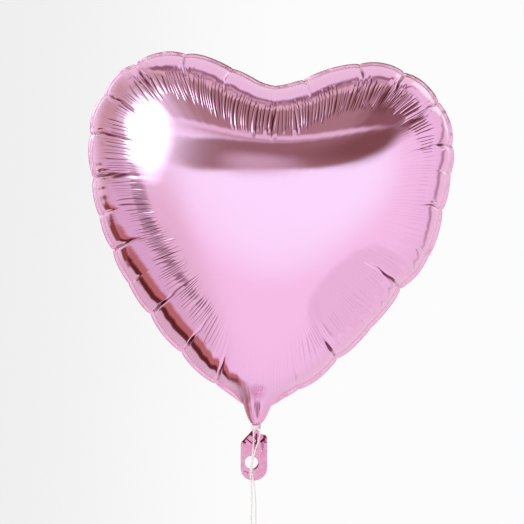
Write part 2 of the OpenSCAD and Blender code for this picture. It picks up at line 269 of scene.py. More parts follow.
@dataclass
class PhotoCamera:
    """The camera at the photograph's viewing angle: straight on, turned a little round its own axis."""

    lens: float = 131.0
    sensor_width: float = 36.0
    distance: float = 1.906
    aim_x: float = -3.2 * MM
    aim_z: float = 164.9 * MM
    roll_degrees: float = 3.2
    shift_x: float = 0.0
    shift_y: float = 0.0

    def build(self) -> bpy.types.Object:
        """Makes the camera and hands it to the scene."""
        data = bpy.data.cameras.new("photo_camera")
        data.lens = self.lens
        data.sensor_width = self.sensor_width
        data.sensor_fit = "AUTO"
        data.shift_x = self.shift_x
        data.shift_y = self.shift_y
        camera = bpy.data.objects.new("photo_camera", data)
        bpy.context.scene.collection.objects.link(camera)
        turn = math.radians(self.roll_degrees)
        right = Vector((math.cos(turn), 0, math.sin(turn)))
        back = Vector((0, -1, 0))
        up = back.cross(right)
        axes = Matrix((right, up, back)).transposed().to_4x4()
        camera.matrix_world = Matrix.Translation((self.aim_x, -self.distance, self.aim_z)) @ axes
        bpy.context.scene.camera = camera
        self.place = camera.matrix_world.copy()
        return camera

    def ray(self, point: tuple[float, float]) -> tuple[Vector, Vector]:
        """Where a ray through an image point starts, and its direction."""
        width, height = POINTS.size
        long_side = max(width, height)
        x, y = point
        local = Vector((x - width / 2 + self.shift_x * long_side,
                        height / 2 - y + self.shift_y * long_side,
                        -long_side * self.lens / self.sensor_width))
        return self.place.translation, (self.place.to_3x3() @ local).normalized()

    def place_on(self, tree: BVHTree, point: tuple[float, float]) -> Vector:
        """Finds the place on a surface that shows at an image point.

        Args:
            tree: The surface that carries the thing.
            point: The image point.

        Returns:
            Where the ray meets the surface, or the place nearest the ray where it misses.
        """
        start, way = self.ray(point)
        hit = tree.ray_cast(start, way)[0]
        if hit is not None:
            return hit
        near = start + way * self.distance
        for _ in range(20):
            near = tree.find_nearest(near)[0]
            near = start + way * (near - start).dot(way)
        return tree.find_nearest(near)[0]

    def project(self, places: Array) -> Array:
        """Image points of places in the frame, one row each."""
        inverse = np.array(self.place.inverted())
        local = np.c_[places, np.ones(len(places))] @ inverse.T
        width, height = POINTS.size
        scale = max(width, height) * self.lens / self.sensor_width / -local[:, 2]
        return np.c_[width / 2 + local[:, 0] * scale, height / 2 - local[:, 1] * scale]


CAMERA = PhotoCamera()


# --- The seam ---------------------------------------------------------------------------------


@dataclass(frozen=True)
class Crease:
    """One crease of the rim.

    Bearing is in degrees clockwise from the cleft, seen from the crown. Weight is its depth as a
    share of the deepest ones', reach_mm how far it runs inwards, and fan how many finer folds lie on
    each side of it.
    """

    bearing: float
    weight: float = 1.0
    reach_mm: float = 34
    fan: int = 0


@dataclass
class HeartSeam:
    """The seam that the two panels share: the heart's arcs, the neck and the creases between puffs.

    Each pair in fuller is a bearing in degrees and how many mm the outline stands out there. The pairs
    were chosen from a comparison of the photograph's outline with the render's, row by row.
    """

    lobe_r: float = 86.5 * MM
    lobe_x: float = 96 * MM
    lobe_z: float = 284.5 * MM
    side_r: float = 342 * MM
    brow_r: float = 260 * MM
    cleft_z: float = 335.5 * MM
    cleft_r: float = 45 * MM
    crown_z: float = 210.5 * MM
    neck_w: float = 27.6 * MM
    neck_z: float = 21.5 * MM
    neck_start_z: float = 2.5 * MM
    tie_half: float = 2.2 * MM
    throat_r: float = 3.4 * MM
    width: float = 4 * MM
    columns: int = 1200
    crease_pull: float = 3.5 * MM
    creases: tuple[Crease, ...] = (
        Crease(11, 0.8, 22), Crease(27.5, 0.8, 46, 2), Crease(40, 1, 40, 2), Crease(53, 0.8, 36, 1),
        Crease(66, 0.9, 36, 1), Crease(74, 0.5, 16), Crease(85, 0.9, 30, 1), Crease(101, 0.4, 14),
        Crease(115.5, 1, 46), Crease(134, 0.4, 14), Crease(150.5, 1, 40), Crease(166.5, 0.7, 26),
        Crease(-16, 0.5, 40, 1), Crease(-29.5, 1, 26, 2), Crease(-44, 1, 38, 1), Crease(-56, 1, 38, 1),
        Crease(-68.5, 1, 44, 2), Crease(-81, 1, 46, 1), Crease(-93, 0.6, 18), Crease(-105.5, 1, 42),
        Crease(-119, 0.4, 14), Crease(-133, 1, 44), Crease(-150.5, 1, 40), Crease(-165.5, 0.9, 30),
        Crease(0, 0.4, 58, 1))
    fuller: tuple[tuple[float, float], ...] = (
        (-172, 0), (-165, 2.5), (-133, 2.5), (-105, 4.5), (-90, 5), (-75, 2.5), (-60, 0), (66, 0), (76, 1.5),
        (85, 4), (98, 8), (106, 6.5), (115, 1), (125, 0), (152, 0), (162, 2), (172, 0))
    fuller_rounds: int = 60

    def __post_init__(self) -> None:
        """Works out the outline, its columns and where the creases meet it."""
        half = self._right_half()
        loop = np.concatenate([half[::-1], half[1:-1] * [-1, 1]])
        steps = np.linalg.norm(np.roll(loop, -1, 0) - loop, axis=1)
        run = np.concatenate([[0], np.cumsum(steps)])
        self.length = float(run[-1])
        self.along = np.arange(self.columns) * self.length / self.columns
        closed = np.concatenate([loop, loop[:1]])
        self.outline = np.c_[[np.interp(self.along, run, closed[:, k]) for k in (0, 1)]].T
        self.spacing = self.length / self.columns
        bearing = np.degrees(np.arctan2(self.outline[:, 0], self.outline[:, 1] - self.crown_z))
        extra = np.interp(bearing, *np.array(self.fuller).T)
        for _ in range(self.fuller_rounds):
            extra = (np.roll(extra, 1) + 2 * extra + np.roll(extra, -1)) / 4
        self.outline = self.outline - self._normals(3 * MM) * extra[:, None] * MM
        self.inward = self._normals(3 * MM)
        self.bearing = np.degrees(np.arctan2(self.outline[:, 0], self.outline[:, 1] - self.crown_z))
        stops = sorted((self._column_at(c.bearing), c) for c in self.creases)
        self.stops = [(column * self.spacing, crease) for column, crease in stops]

    def _arc_centre(self, point: Array, radius: float, side: int) -> Array:
        """Centre of a circle of that radius that holds the point and touches the lobe from outside."""
        lobe = np.array([self.lobe_x, self.lobe_z])
        span = np.linalg.norm(point - lobe)
        along = ((radius - self.lobe_r) ** 2 - radius ** 2 + span ** 2) / (2 * span)
        off = math.sqrt((radius - self.lobe_r) ** 2 - along ** 2)
        way = (point - lobe) / span
        return lobe + along * way + side * off * np.array([-way[1], way[0]])

    def _right_half(self) -> Array:
        """The outline's right half, from the cleft down to the middle of the tied mouth."""
        crown = np.array([0, self.crown_z])
        lobe = np.array([self.lobe_x, self.lobe_z])
        shoulder = np.array([self.neck_w / 2, self.neck_z])
        side = self._arc_centre(shoulder, self.side_r, -1)
        brow = self._arc_centre(np.array([0, self.cleft_z]), self.brow_r, 1)

        def bearing(p: Array) -> float:
            return math.atan2(p[0] - crown[0], p[1] - crown[1])

        rise = math.sqrt((self.brow_r + self.cleft_r) ** 2 - brow[0] ** 2)
        cleft = np.array([0, brow[1] + rise])
        cleft_meets = bearing(brow + self.brow_r * (cleft - brow) / (self.brow_r + self.cleft_r))
        side_meets = bearing(lobe + self.lobe_r * (lobe - side) / np.linalg.norm(lobe - side))
        brow_meets = bearing(lobe + self.lobe_r * (lobe - brow) / np.linalg.norm(lobe - brow))
        points = []
        for angle in np.linspace(0, bearing(shoulder), 2000):
            if angle < cleft_meets:
                centre, radius = cleft, self.cleft_r
            elif angle < brow_meets:
                centre, radius = brow, self.brow_r
            elif angle < side_meets:
                centre, radius = lobe, self.lobe_r
            else:
                centre, radius = side, self.side_r
            way = np.array([math.sin(angle), math.cos(angle)])
            to = centre - crown
            half = math.sqrt(max(0, radius ** 2 - to @ to + (to @ way) ** 2))
            reach = to @ way + (-half if centre is cleft else half)
            points.append(crown + reach * way)
        for z in np.linspace(self.neck_z, self.neck_start_z, 60)[1:]:
            points.append(np.array([float(self.neck_half(z)), z]))
        points.append(np.array([self.throat_r, -self.tie_half]))
        points.append(np.array([0.0, -self.tie_half]))
        return np.array(points)

    def neck_half(self, z: float | Array) -> float | Array:
        """Half the neck's width at a height above the tie."""
        share = np.clip((z - self.neck_start_z) / (self.neck_z - self.neck_start_z), 0, 1) ** 0.6
        return self.throat_r + (self.neck_w / 2 - self.throat_r) * share

    def _normals(self, blur: float) -> Array:
        """Inward normals of the outline, smoothed over a distance."""
        reach = int(3 * blur / self.spacing)
        taps = np.arange(-reach, reach + 1)
        weights = np.exp(-(taps * self.spacing / blur) ** 2 / 2)
        soft = sum(w * np.roll(self.outline, -k, 0) for k, w in zip(taps, weights)) / weights.sum()
        way = np.roll(soft, -1, 0) - np.roll(soft, 1, 0)
        normal = np.c_[-way[:, 1], way[:, 0]]
        return normal / np.linalg.norm(normal, axis=1)[:, None]

    def _column_at(self, bearing: float) -> int:
        """The column nearest a bearing, in degrees clockwise from the cleft."""
        return int(np.argmin(np.abs((self.bearing - bearing + 180) % 360 - 180)))

    def in_neck(self) -> Array:
        """How much each column belongs to the neck: 1 in it, 0 a little above it."""
        return 1 - smooth(self.neck_z, self.neck_z + 8 * MM, self.outline[:, 1])

    def puffs(self, fullness: float) -> tuple[Array, Array]:
        """Where each column stands between its two creases.

        Args:
            fullness: How the film swells between them: the lower, the closer to a flat-topped puff.

        Returns:
            How full the film is there, 0 in a crease and 1 between two, and the creases' weight there.
        """
        at = np.array([s for s, _ in self.stops])
        weight = np.array([c.weight for _, c in self.stops])
        at = np.concatenate([[at[-1] - self.length], at, [at[0] + self.length]])
        weight = np.concatenate([weight[-1:], weight, weight[:1]])
        place = np.searchsorted(at, self.along, side="right") - 1
        share = np.clip((self.along - at[place]) / (at[place + 1] - at[place]), 0, 1)
        blend = share * share * (3 - 2 * share)
        return np.sin(np.pi * share) ** fullness, weight[place] * (1 - blend) + weight[place + 1] * blend


# --- The filled film ------------------------------------------------------------------------------


@dataclass
class FilledFilm:
    """The base shape of a filled panel, without its folds.

    A membrane under even pressure is solved over the seam's outline, and its height is turned to that
    of film that can't stretch, which stands upright at the rim and is flat at the crown.
    """

    seam: HeartSeam
    crown_h: float = 92 * MM
    rings: int = 60
    square_in: float = 60 * MM
    square_to: float = 165.0
    neck_fade: float = 2.6

    def __post_init__(self) -> None:
        """Works out the plan of the grid, from the rim in, and the film's height over it."""
        seam = self.seam
        self.share = 1 - np.cos(np.pi / 2 * np.arange(self.rings) / self.rings)
        neck = seam.in_neck()
        inset = seam.width * (1 - neck) + 0.3 * MM * neck
        self.base = seam.outline + inset[:, None] * seam.inward
        crown = np.array([0, seam.crown_z])
        bearing = np.abs(seam.bearing)
        square = 1 - smooth(self.square_to - 25, self.square_to, bearing)[:, None]
        middle = self.base + square * self.square_in * seam._normals(8 * MM) \
            + (1 - square) * (crown - self.base) / 2
        corner = seam.throat_r + seam.neck_start_z + seam.tie_half
        off = (seam.along + seam.length / 2) % seam.length - seam.length / 2
        middle[:, 0] = np.where(np.abs(off) < corner, off / corner * seam.throat_r / 2, middle[:, 0])
        t = self.share[None, :, None]
        self.plan = (1 - t) ** 2 * self.base[:, None] + 2 * t * (1 - t) * middle[:, None] + t * t * crown
        u = self._membrane()
        lifted = self.crown_h * np.sqrt(1 - (1 - np.clip(u / u.max(), 0, 1)) ** 1.5)
        near = np.abs(off) < 1.5 * corner
        first, last = np.flatnonzero(near & (off > 0))[-1] + 1, np.flatnonzero(near & (off < 0))[0] - 1
        share = (off[near] / (3 * corner) + 0.5)[:, None]
        x, z = self.plan[..., 0], self.plan[..., 1]
        level = lifted[last] * (1 - share) + lifted[first] * share
        above = smooth(8 * MM, 24 * MM, z[near])
        lifted[near] = level * (1 - above) + lifted[near] * above
        taper = np.sin(np.pi / 2 * np.clip((z + seam.tie_half) / (self.neck_fade * seam.neck_z), 0, 1)) ** 2
        half = seam.neck_half(z) - 0.3 * MM
        fade = np.clip((self.neck_fade * seam.neck_z - z) / ((self.neck_fade - 1) * seam.neck_z), 0, 1)
        bulb = half * np.sqrt(np.clip(1 - (x / half) ** 2, 0, 1)) * fade
        self.height = np.hypot(lifted * taper, bulb)
        self.inset = np.linalg.norm(np.diff(self.plan, axis=1, prepend=self.plan[:, :1]), axis=2).cumsum(1)

    def _membrane(self) -> Array:
        """Solves the membrane's height on the plan, zero at the rim, by conjugate gradients."""
        plan = self.plan
        east = np.roll(plan, -1, 0)
        a, b, c, d = plan[:, :-1], east[:, :-1], east[:, 1:], plan[:, 1:]

        def cot(p: Array, q: Array, r: Array) -> Array:
            """Cotangent of the corner at p."""
            v, w = q - p, r - p
            return (v * w).sum(-1) / np.abs(v[..., 0] * w[..., 1] - v[..., 1] * w[..., 0])

        def area(p: Array, q: Array, r: Array) -> Array:
            """Area of a triangle."""
            v, w = q - p, r - p
            return np.abs(v[..., 0] * w[..., 1] - v[..., 1] * w[..., 0]) / 2

        # Each quad is split along a-c into the triangles a b c and a c d
        across = np.zeros(plan.shape[:2])
        across[:, :-1] += cot(c, a, b) / 2
        across[:, 1:] += cot(a, c, d) / 2
        inwards = cot(c, a, d) / 2 + np.roll(cot(a, b, c), 1, 0) / 2
        slant = cot(b, a, c) / 2 + cot(d, a, c) / 2
        load = np.zeros(plan.shape[:2])
        first, second = area(a, b, c) / 3, area(a, c, d) / 3
        load[:, :-1] += first + second + np.roll(first, 1, 0)
        load[:, 1:] += np.roll(first + second, 1, 0) + second

        def apply(u: Array) -> Array:
            """The stiffness matrix times u."""
            out = np.zeros_like(u)
            flow = across * (u - np.roll(u, -1, 0))
            out += flow - np.roll(flow, 1, 0)
            flow = inwards * (u[:, :-1] - u[:, 1:])
            out[:, :-1] += flow
            out[:, 1:] -= flow
            flow = slant * (u[:, :-1] - np.roll(u, -1, 0)[:, 1:])
            out[:, :-1] += flow
            out[:, 1:] -= np.roll(flow, 1, 0)
            out[:, 0] = 0
            return out

        stiff = across + np.roll(across, 1, 0)
        stiff[:, :-1] += inwards + slant
        stiff[:, 1:] += inwards + np.roll(slant, 1, 0)
        u = self.share * (2 - self.share) * 4.9e-3 * np.ones((len(plan), 1))
        u[:, 0] = 0
        rest = load - apply(u)
        rest[:, 0] = 0
        z = rest / stiff
        way, old = z.copy(), (rest * z).sum()
        stop = old * 1e-12
        for _ in range(4000):
            moved = apply(way)
            step = old / (way * moved).sum()
            u += step * way
            rest -= step * moved
            z = rest / stiff
            new = (rest * z).sum()
            if new < stop:
                break
            way = z + new / old * way
            old = new
        return u


@dataclass(frozen=True)
class PleatZone:
    """Where the fine pleats lie in from the edge at one bearing, and how deep they are."""

    bearing: float
    start_mm: float
    stop_mm: float
    strength: float


@dataclass
class RimFolds:
    """The creases that the rim presses into a panel as it fills, and where its pleats lie.

    A sheet that can't stretch has too much rim for its filled shape, so the rim folds: sharp creases
    that part the puffs, and finer folds beside them. The fine pleats further in have no shape here.
    This only marks their zones, and the foil's finish makes them by bump and by painted shade in their grooves.
    """

    film: FilledFilm
    seed: int
    scallop: float = 0.015
    scallop_reach: float = 22 * MM
    cushion: float = 0.9 * MM
    crease_depth: float = 3.2 * MM
    crease_half_width: float = 1.4 * MM
    fan_gap: float = 3.4 * MM
    sag_depth: float = 0.25 * MM
    gather_depth: float = 0.4 * MM
    neck_fold: float = 0.5 * MM
    # Width and strength of the painted shade in the creases and in the neck's fold.
    crease_shade_width: float = 1.25
    neck_fold_shade: float = 0.42
    zones: tuple[PleatZone, ...] = (
        PleatZone(-180, 26, 40, 0), PleatZone(-168, 26, 44, 0), PleatZone(-150, 27, 58, 0.6),
        PleatZone(-133, 28, 60, 0.7), PleatZone(-112, 30, 62, 0.7), PleatZone(-98, 28, 56, 0.5),
        PleatZone(-80, 11, 44, 0.5),
        PleatZone(-62, 18, 44, 0.6), PleatZone(-42, 18, 46, 1.1), PleatZone(-25, 18, 58, 1.6),
        PleatZone(0, 19, 52, 1.5), PleatZone(25, 19, 52, 1.6), PleatZone(45, 18, 46, 1.7),
        PleatZone(58, 18, 42, 1.6), PleatZone(70, 18, 32, 0.15), PleatZone(100, 18, 34, 0.08),
        PleatZone(135, 20, 40, 0.1), PleatZone(158, 22, 44, 0.2),
        PleatZone(170, 26, 40, 0), PleatZone(180, 26, 40, 0))

    def shape(self) -> tuple[Array, Array]:
        """How much of its height the film keeps, and how far it is pressed in, over the grid.

        Returns:
            A factor on the height, and a depth along the surface's normal.
        """
        seam, inset = self.film.seam, self.film.inset
        swell, weight = seam.puffs(0.45)
        low = (weight * (1 - swell))[:, None] * np.exp(-(inset / self.scallop_reach) ** 1.5)
        puff = (weight * swell)[:, None] * smooth(2 * MM, 26 * MM, inset) \
            * (1 - smooth(34 * MM, 52 * MM, inset))
        top = (0.35 + 0.65 * smooth(0.2, 0.6, np.cos(np.radians(seam.bearing))))[:, None]
        depth = self._sags() + self._gathers() - self.cushion * puff * top
        for number, (place, crease) in enumerate(seam.stops):
            depth += self.crease_depth * self._crease(place, crease, number)
        return 1 - self.scallop * low, depth

    def marks(self) -> Array:
        """What the finish needs to know of the folds.

        Returns:
            For each place: its share of the way across the pleats' zone, their strength, and how deep
            in a crease or the neck's fold it lies, which the finish paints as shade.
        """
        seam, inset = self.film.seam, self.film.inset
        bearing = np.array([z.bearing for z in self.zones])
        start, stop, strength = (np.interp(seam.bearing, bearing, [getattr(z, name) for z in self.zones])
                                 for name in ("start_mm", "stop_mm", "strength"))
        start = start + 2 * wander(seam.along, 24 * MM, self.seed * 5)
        share = (inset / MM - start[:, None]) / (stop - start)[:, None]
        # How much painted shade each place takes from the creases and the neck's fold.
        inside = sum(self._crease(place, crease, number, self.crease_shade_width)
                     for number, (place, crease) in enumerate(seam.stops))
        inside = inside + self.neck_fold_shade * self._neck_fold()
        strength = np.broadcast_to(strength[:, None], share.shape)
        return np.stack([np.clip(share, -1, 2), strength, np.clip(inside, 0, 1)], -1)

    def _along_from(self, place: float) -> Array:
        """Distance along the rim from a place, the short way round."""
        length = self.film.seam.length
        return (self.film.seam.along - place + length / 2) % length - length / 2

    def _crease(self, place: float, crease: Crease, number: int, wide: float = 1.0) -> Array:
        """One crease and the finer folds beside it.

        Args:
            place: Where it meets the seam.
            crease: Its size.
            number: Its place among the creases, which seeds its wander.
            wide: A factor on its width.

        Returns:
            From 0 on flat film to about 1 at its bottom, over the grid.
        """
        inset = self.film.inset
        reach = crease.reach_mm * MM
        seed = self.seed * 50 + number
        spacing = self.film.seam.spacing
        pitch = np.linalg.norm(np.roll(self.film.plan, -1, 0) - self.film.plan, axis=2)
        scale = pitch / spacing
        bend = 1.2 * MM * wander(inset, 11 * MM, seed) * smooth(4 * MM, 14 * MM, inset)
        off = self._along_from(place)[:, None] * scale - bend
        fade = np.clip(1 - inset / reach, 0, 1) ** 0.55 * (0.85 + 0.3 * wander(inset, 6 * MM, seed + 900))
        fade *= 0.55 + 0.45 * smooth(2 * MM, 12 * MM, inset)
        width = wide * self.crease_half_width * (0.55 + 0.45 * np.clip(1 - inset / (0.8 * reach), 0, 1))
        press = crease.weight * fade * np.exp(-(np.abs(off) / width) ** 1.5)
        for k in range(1, crease.fan + 1):
            for side in (-1, 1):
                gap = self.fan_gap * (1 + 0.25 * wander(inset, 9 * MM, seed + 70 * k)) + 0.05 * inset
                start = smooth(4 * MM * k, 10 * MM * k, inset)
                short = np.clip(1 - inset / (reach * (1.05 - 0.12 * k)), 0, 1)
                near = np.abs(off - side * k * gap)
                press += 0.4 * crease.weight * start * short * np.exp(-(near / (1.1 * MM)) ** 1.6)
        return press

    def _sags(self) -> Array:
        """Low uneven swells along the rim."""
        film = self.film
        depth = np.zeros_like(film.inset)
        along = film.seam.along[:, None]
        swells = ((9 * MM, 16 * MM, 0.4), (13 * MM, 24 * MM, 0.8), (24 * MM, 34 * MM, 1.0))
        for wave, reach, deep in swells:
            strength = 0.5 + 0.5 * wander(along, 5 * wave, self.seed * 31 + int(wave / MM))
            shift = 0.8 * wave * wander(along, 3 * wave, self.seed * 17 + int(wave / MM))
            wave_at = np.cos(2 * np.pi * (along + shift) / wave)
            depth += self.sag_depth * deep * strength * wave_at * np.exp(-(film.inset / reach) ** 1.5)
        return depth * smooth(20 * MM, 60 * MM, film.plan[..., 1])

    def _gathers(self) -> Array:
        """Folds that run from the tied neck up into the film."""
        x, z = self.film.plan[..., 0], self.film.plan[..., 1]
        angle = np.arctan2(x, z + 16 * MM)
        fold = np.abs(wander(angle + 4, 0.075, self.seed * 7)) \
            + 0.4 * np.abs(wander(angle + 4, 0.03, self.seed * 11))
        from_tie = z - self.film.seam.neck_start_z
        strength = smooth(-3 * MM, 10 * MM, from_tie) * (1 - smooth(16 * MM, 60 * MM, from_tie))
        strength = 0.5 * (1 - smooth(0, 8 * MM, from_tie)) + strength
        return self.gather_depth * fold * strength + self.neck_fold * self._neck_fold()

    def _neck_fold(self) -> Array:
        """The one deep fold down the middle of the neck, 1 at its bottom."""
        x, z = self.film.plan[..., 0], self.film.plan[..., 1] - self.film.seam.neck_start_z
        off = np.abs(x - 0.8 * MM + 0.06 * (z - 8 * MM)) / (0.3 * MM + 0.19 * np.clip(z, 0, 30 * MM))
        return np.exp(-off ** 4) * smooth(1 * MM, 9 * MM, z) * (1 - smooth(20 * MM, 34 * MM, z))


class Side(Enum):
    """Which way a panel or film faces."""

    FRONT = -1
    REAR = 1


@dataclass
class BalloonPanel:
    """One filled sheet of the balloon, with its half of the seam: a closed shell with an inner wall."""

    name: str
    node: str
    side: Side
    film: FilledFilm
    folds: RimFolds
    film_t: float = 0.3 * MM
    wall: float = 0.5 * MM
    inner_rings: int = 15
    ripple: float = 1.4 * MM

    def build(self) -> bpy.types.Object:
        """Makes the shell: a grid that runs from the crown to the rim and back along the inner wall."""
        film = self.film
        outer, inner, insets = self._surfaces()
        crown = np.array([0, self.side.value * self.film.crown_h, self.film.seam.crown_z])
        top = outer[:, -1].mean(0) * [0, 1, 0] + crown * [1, 0, 1]
        under = inner[:, -1].mean(0) * [0, 1, 0] + crown * [1, 0, 1]
        count = len(outer)
        places = np.concatenate([np.tile(top, (count, 1, 1)), outer[:, ::-1], inner,
                                 np.tile(under, (count, 1, 1))], axis=1)
        places = np.concatenate([places, places[:1]])
        ring = int(np.argmin(np.abs(film.inset.mean(0) - 30 * MM)))
        steps = np.linalg.norm(np.roll(film.plan[:, ring], -1, 0) - film.plan[:, ring], axis=1)
        run = np.concatenate([[0], steps.cumsum()])[:, None]
        deep = np.concatenate([insets[:, -1:], insets[:, ::-1], np.zeros((count, inner.shape[1])),
                               insets[:, -1:]], axis=1)
        deep = np.concatenate([deep, deep[:1]])
        marks = self.folds.marks()
        flange, wall = np.zeros((count, 3, 3)), np.zeros((count, inner.shape[1] + 1, 3))
        flange[..., 0] = wall[..., 0] = -1
        marks = np.concatenate([marks[:, -1:], marks[:, ::-1], flange, wall], axis=1)
        marks = np.concatenate([marks, marks[:1]])
        piece = finish_mesh(lattice(places, np.stack(np.broadcast_arrays(run, deep), -1), marks), self.name)
        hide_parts(self.node)
        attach(piece, "balloon")
        LOG.info("%s: %d faces, sealed round %.3f m of rim", self.name, len(piece.data.polygons),
                 self.film.seam.length)
        return piece

    def _surfaces(self) -> tuple[Array, Array, Array]:
        """The outer surface and inner wall as grids, from the rim in, and the outer one's insets."""
        film, seam = self.film, self.film.seam
        keep, depth = self.folds.shape()
        swell, weight = seam.puffs(0.5)
        drawn = seam.crease_pull * weight * (1 - swell) * (1 - seam.in_neck())
        fade = np.exp(-(film.inset / (13 * MM)) ** 1.2)
        plan = film.plan + drawn[:, None, None] * fade[..., None] * seam.inward[:, None]
        height = film.height * keep
        flat = np.stack([plan[..., 0], self.side.value * (self.film_t + height), plan[..., 1]], axis=-1)
        normal = self._normals(flat)
        rise = smooth(0, 4 * MM, film.inset)
        filled = flat - normal * (depth * rise)[..., None]
        shallow = np.minimum(self.side.value * filled[..., 1], 1)
        filled[..., 1] = self.side.value * np.maximum(shallow, self.film_t)
        edge = seam.outline + drawn[:, None] * seam.inward
        bend = self._ripple()
        flange = []
        for part in (0.0, 0.4, 0.75):
            line = edge * (1 - part) + plan[:, 0] * part
            flange_y = self.side.value * self.film_t + bend * (1 - part)
            flange.append(np.stack([line[:, 0], flange_y, line[:, 1]], -1))
        outer = np.concatenate([np.stack(flange, 1), filled], axis=1)
        inner_rim = np.stack([edge[:, 0], bend, edge[:, 1]], -1)
        inner_foot = np.stack([plan[:, 0, 0], 0 * bend, plan[:, 0, 1]], -1)
        picks = np.linspace(2, film.rings - 1, self.inner_rings - 2).astype(int)
        wall = filled[:, picks] - normal[:, picks] * self.wall
        level = self.side.value * wall[..., 1]
        spot = np.arange(film.rings)
        share = np.stack([np.interp(spot, picks, row) for row in np.eye(len(picks))])
        proud = np.clip(level @ share - self.side.value * filled[..., 1] + 0.3 * MM, 0, None)
        for k in range(len(picks)):
            beside = slice(picks[max(k - 1, 0)], picks[min(k + 1, len(picks) - 1)] + 1)
            level[:, k] -= 1.3 * proud[:, beside].max(1)
        wall[..., 1] = self.side.value * np.maximum(level, 0.05 * MM)
        inner = np.concatenate([inner_rim[:, None], inner_foot[:, None], wall], axis=1)
        insets = np.concatenate([np.zeros((seam.columns, 1)), np.full((seam.columns, 2), 2 * MM),
                                 film.inset + seam.width], axis=1)
        return outer, inner, insets

    def _normals(self, grid: Array) -> Array:
        """Outward normals of a grid from the rim in."""
        along = np.roll(grid, -1, 0) - np.roll(grid, 1, 0)
        inwards = np.gradient(grid, axis=1)
        normal = np.cross(along, inwards)
        normal /= np.linalg.norm(normal, axis=-1, keepdims=True) + 1e-12
        out = np.sign(normal[..., 1] * self.side.value)
        return normal * np.where(out == 0, 1, out)[..., None]

    def _ripple(self) -> Array:
        """How far the seam's edge leaves its plane; both panels share it, as they are sealed together."""
        seam = self.film.seam
        swell, _ = seam.puffs(0.6)
        along = seam.along
        wave = wander(along, 11 * MM, 5) + 0.6 * wander(along, 4 * MM, 6)
        tight = 1 - 0.65 * swell
        return self.ripple * wave * tight * (1 - seam.in_neck())


# --- The tail -------------------------------------------------------------------------------------


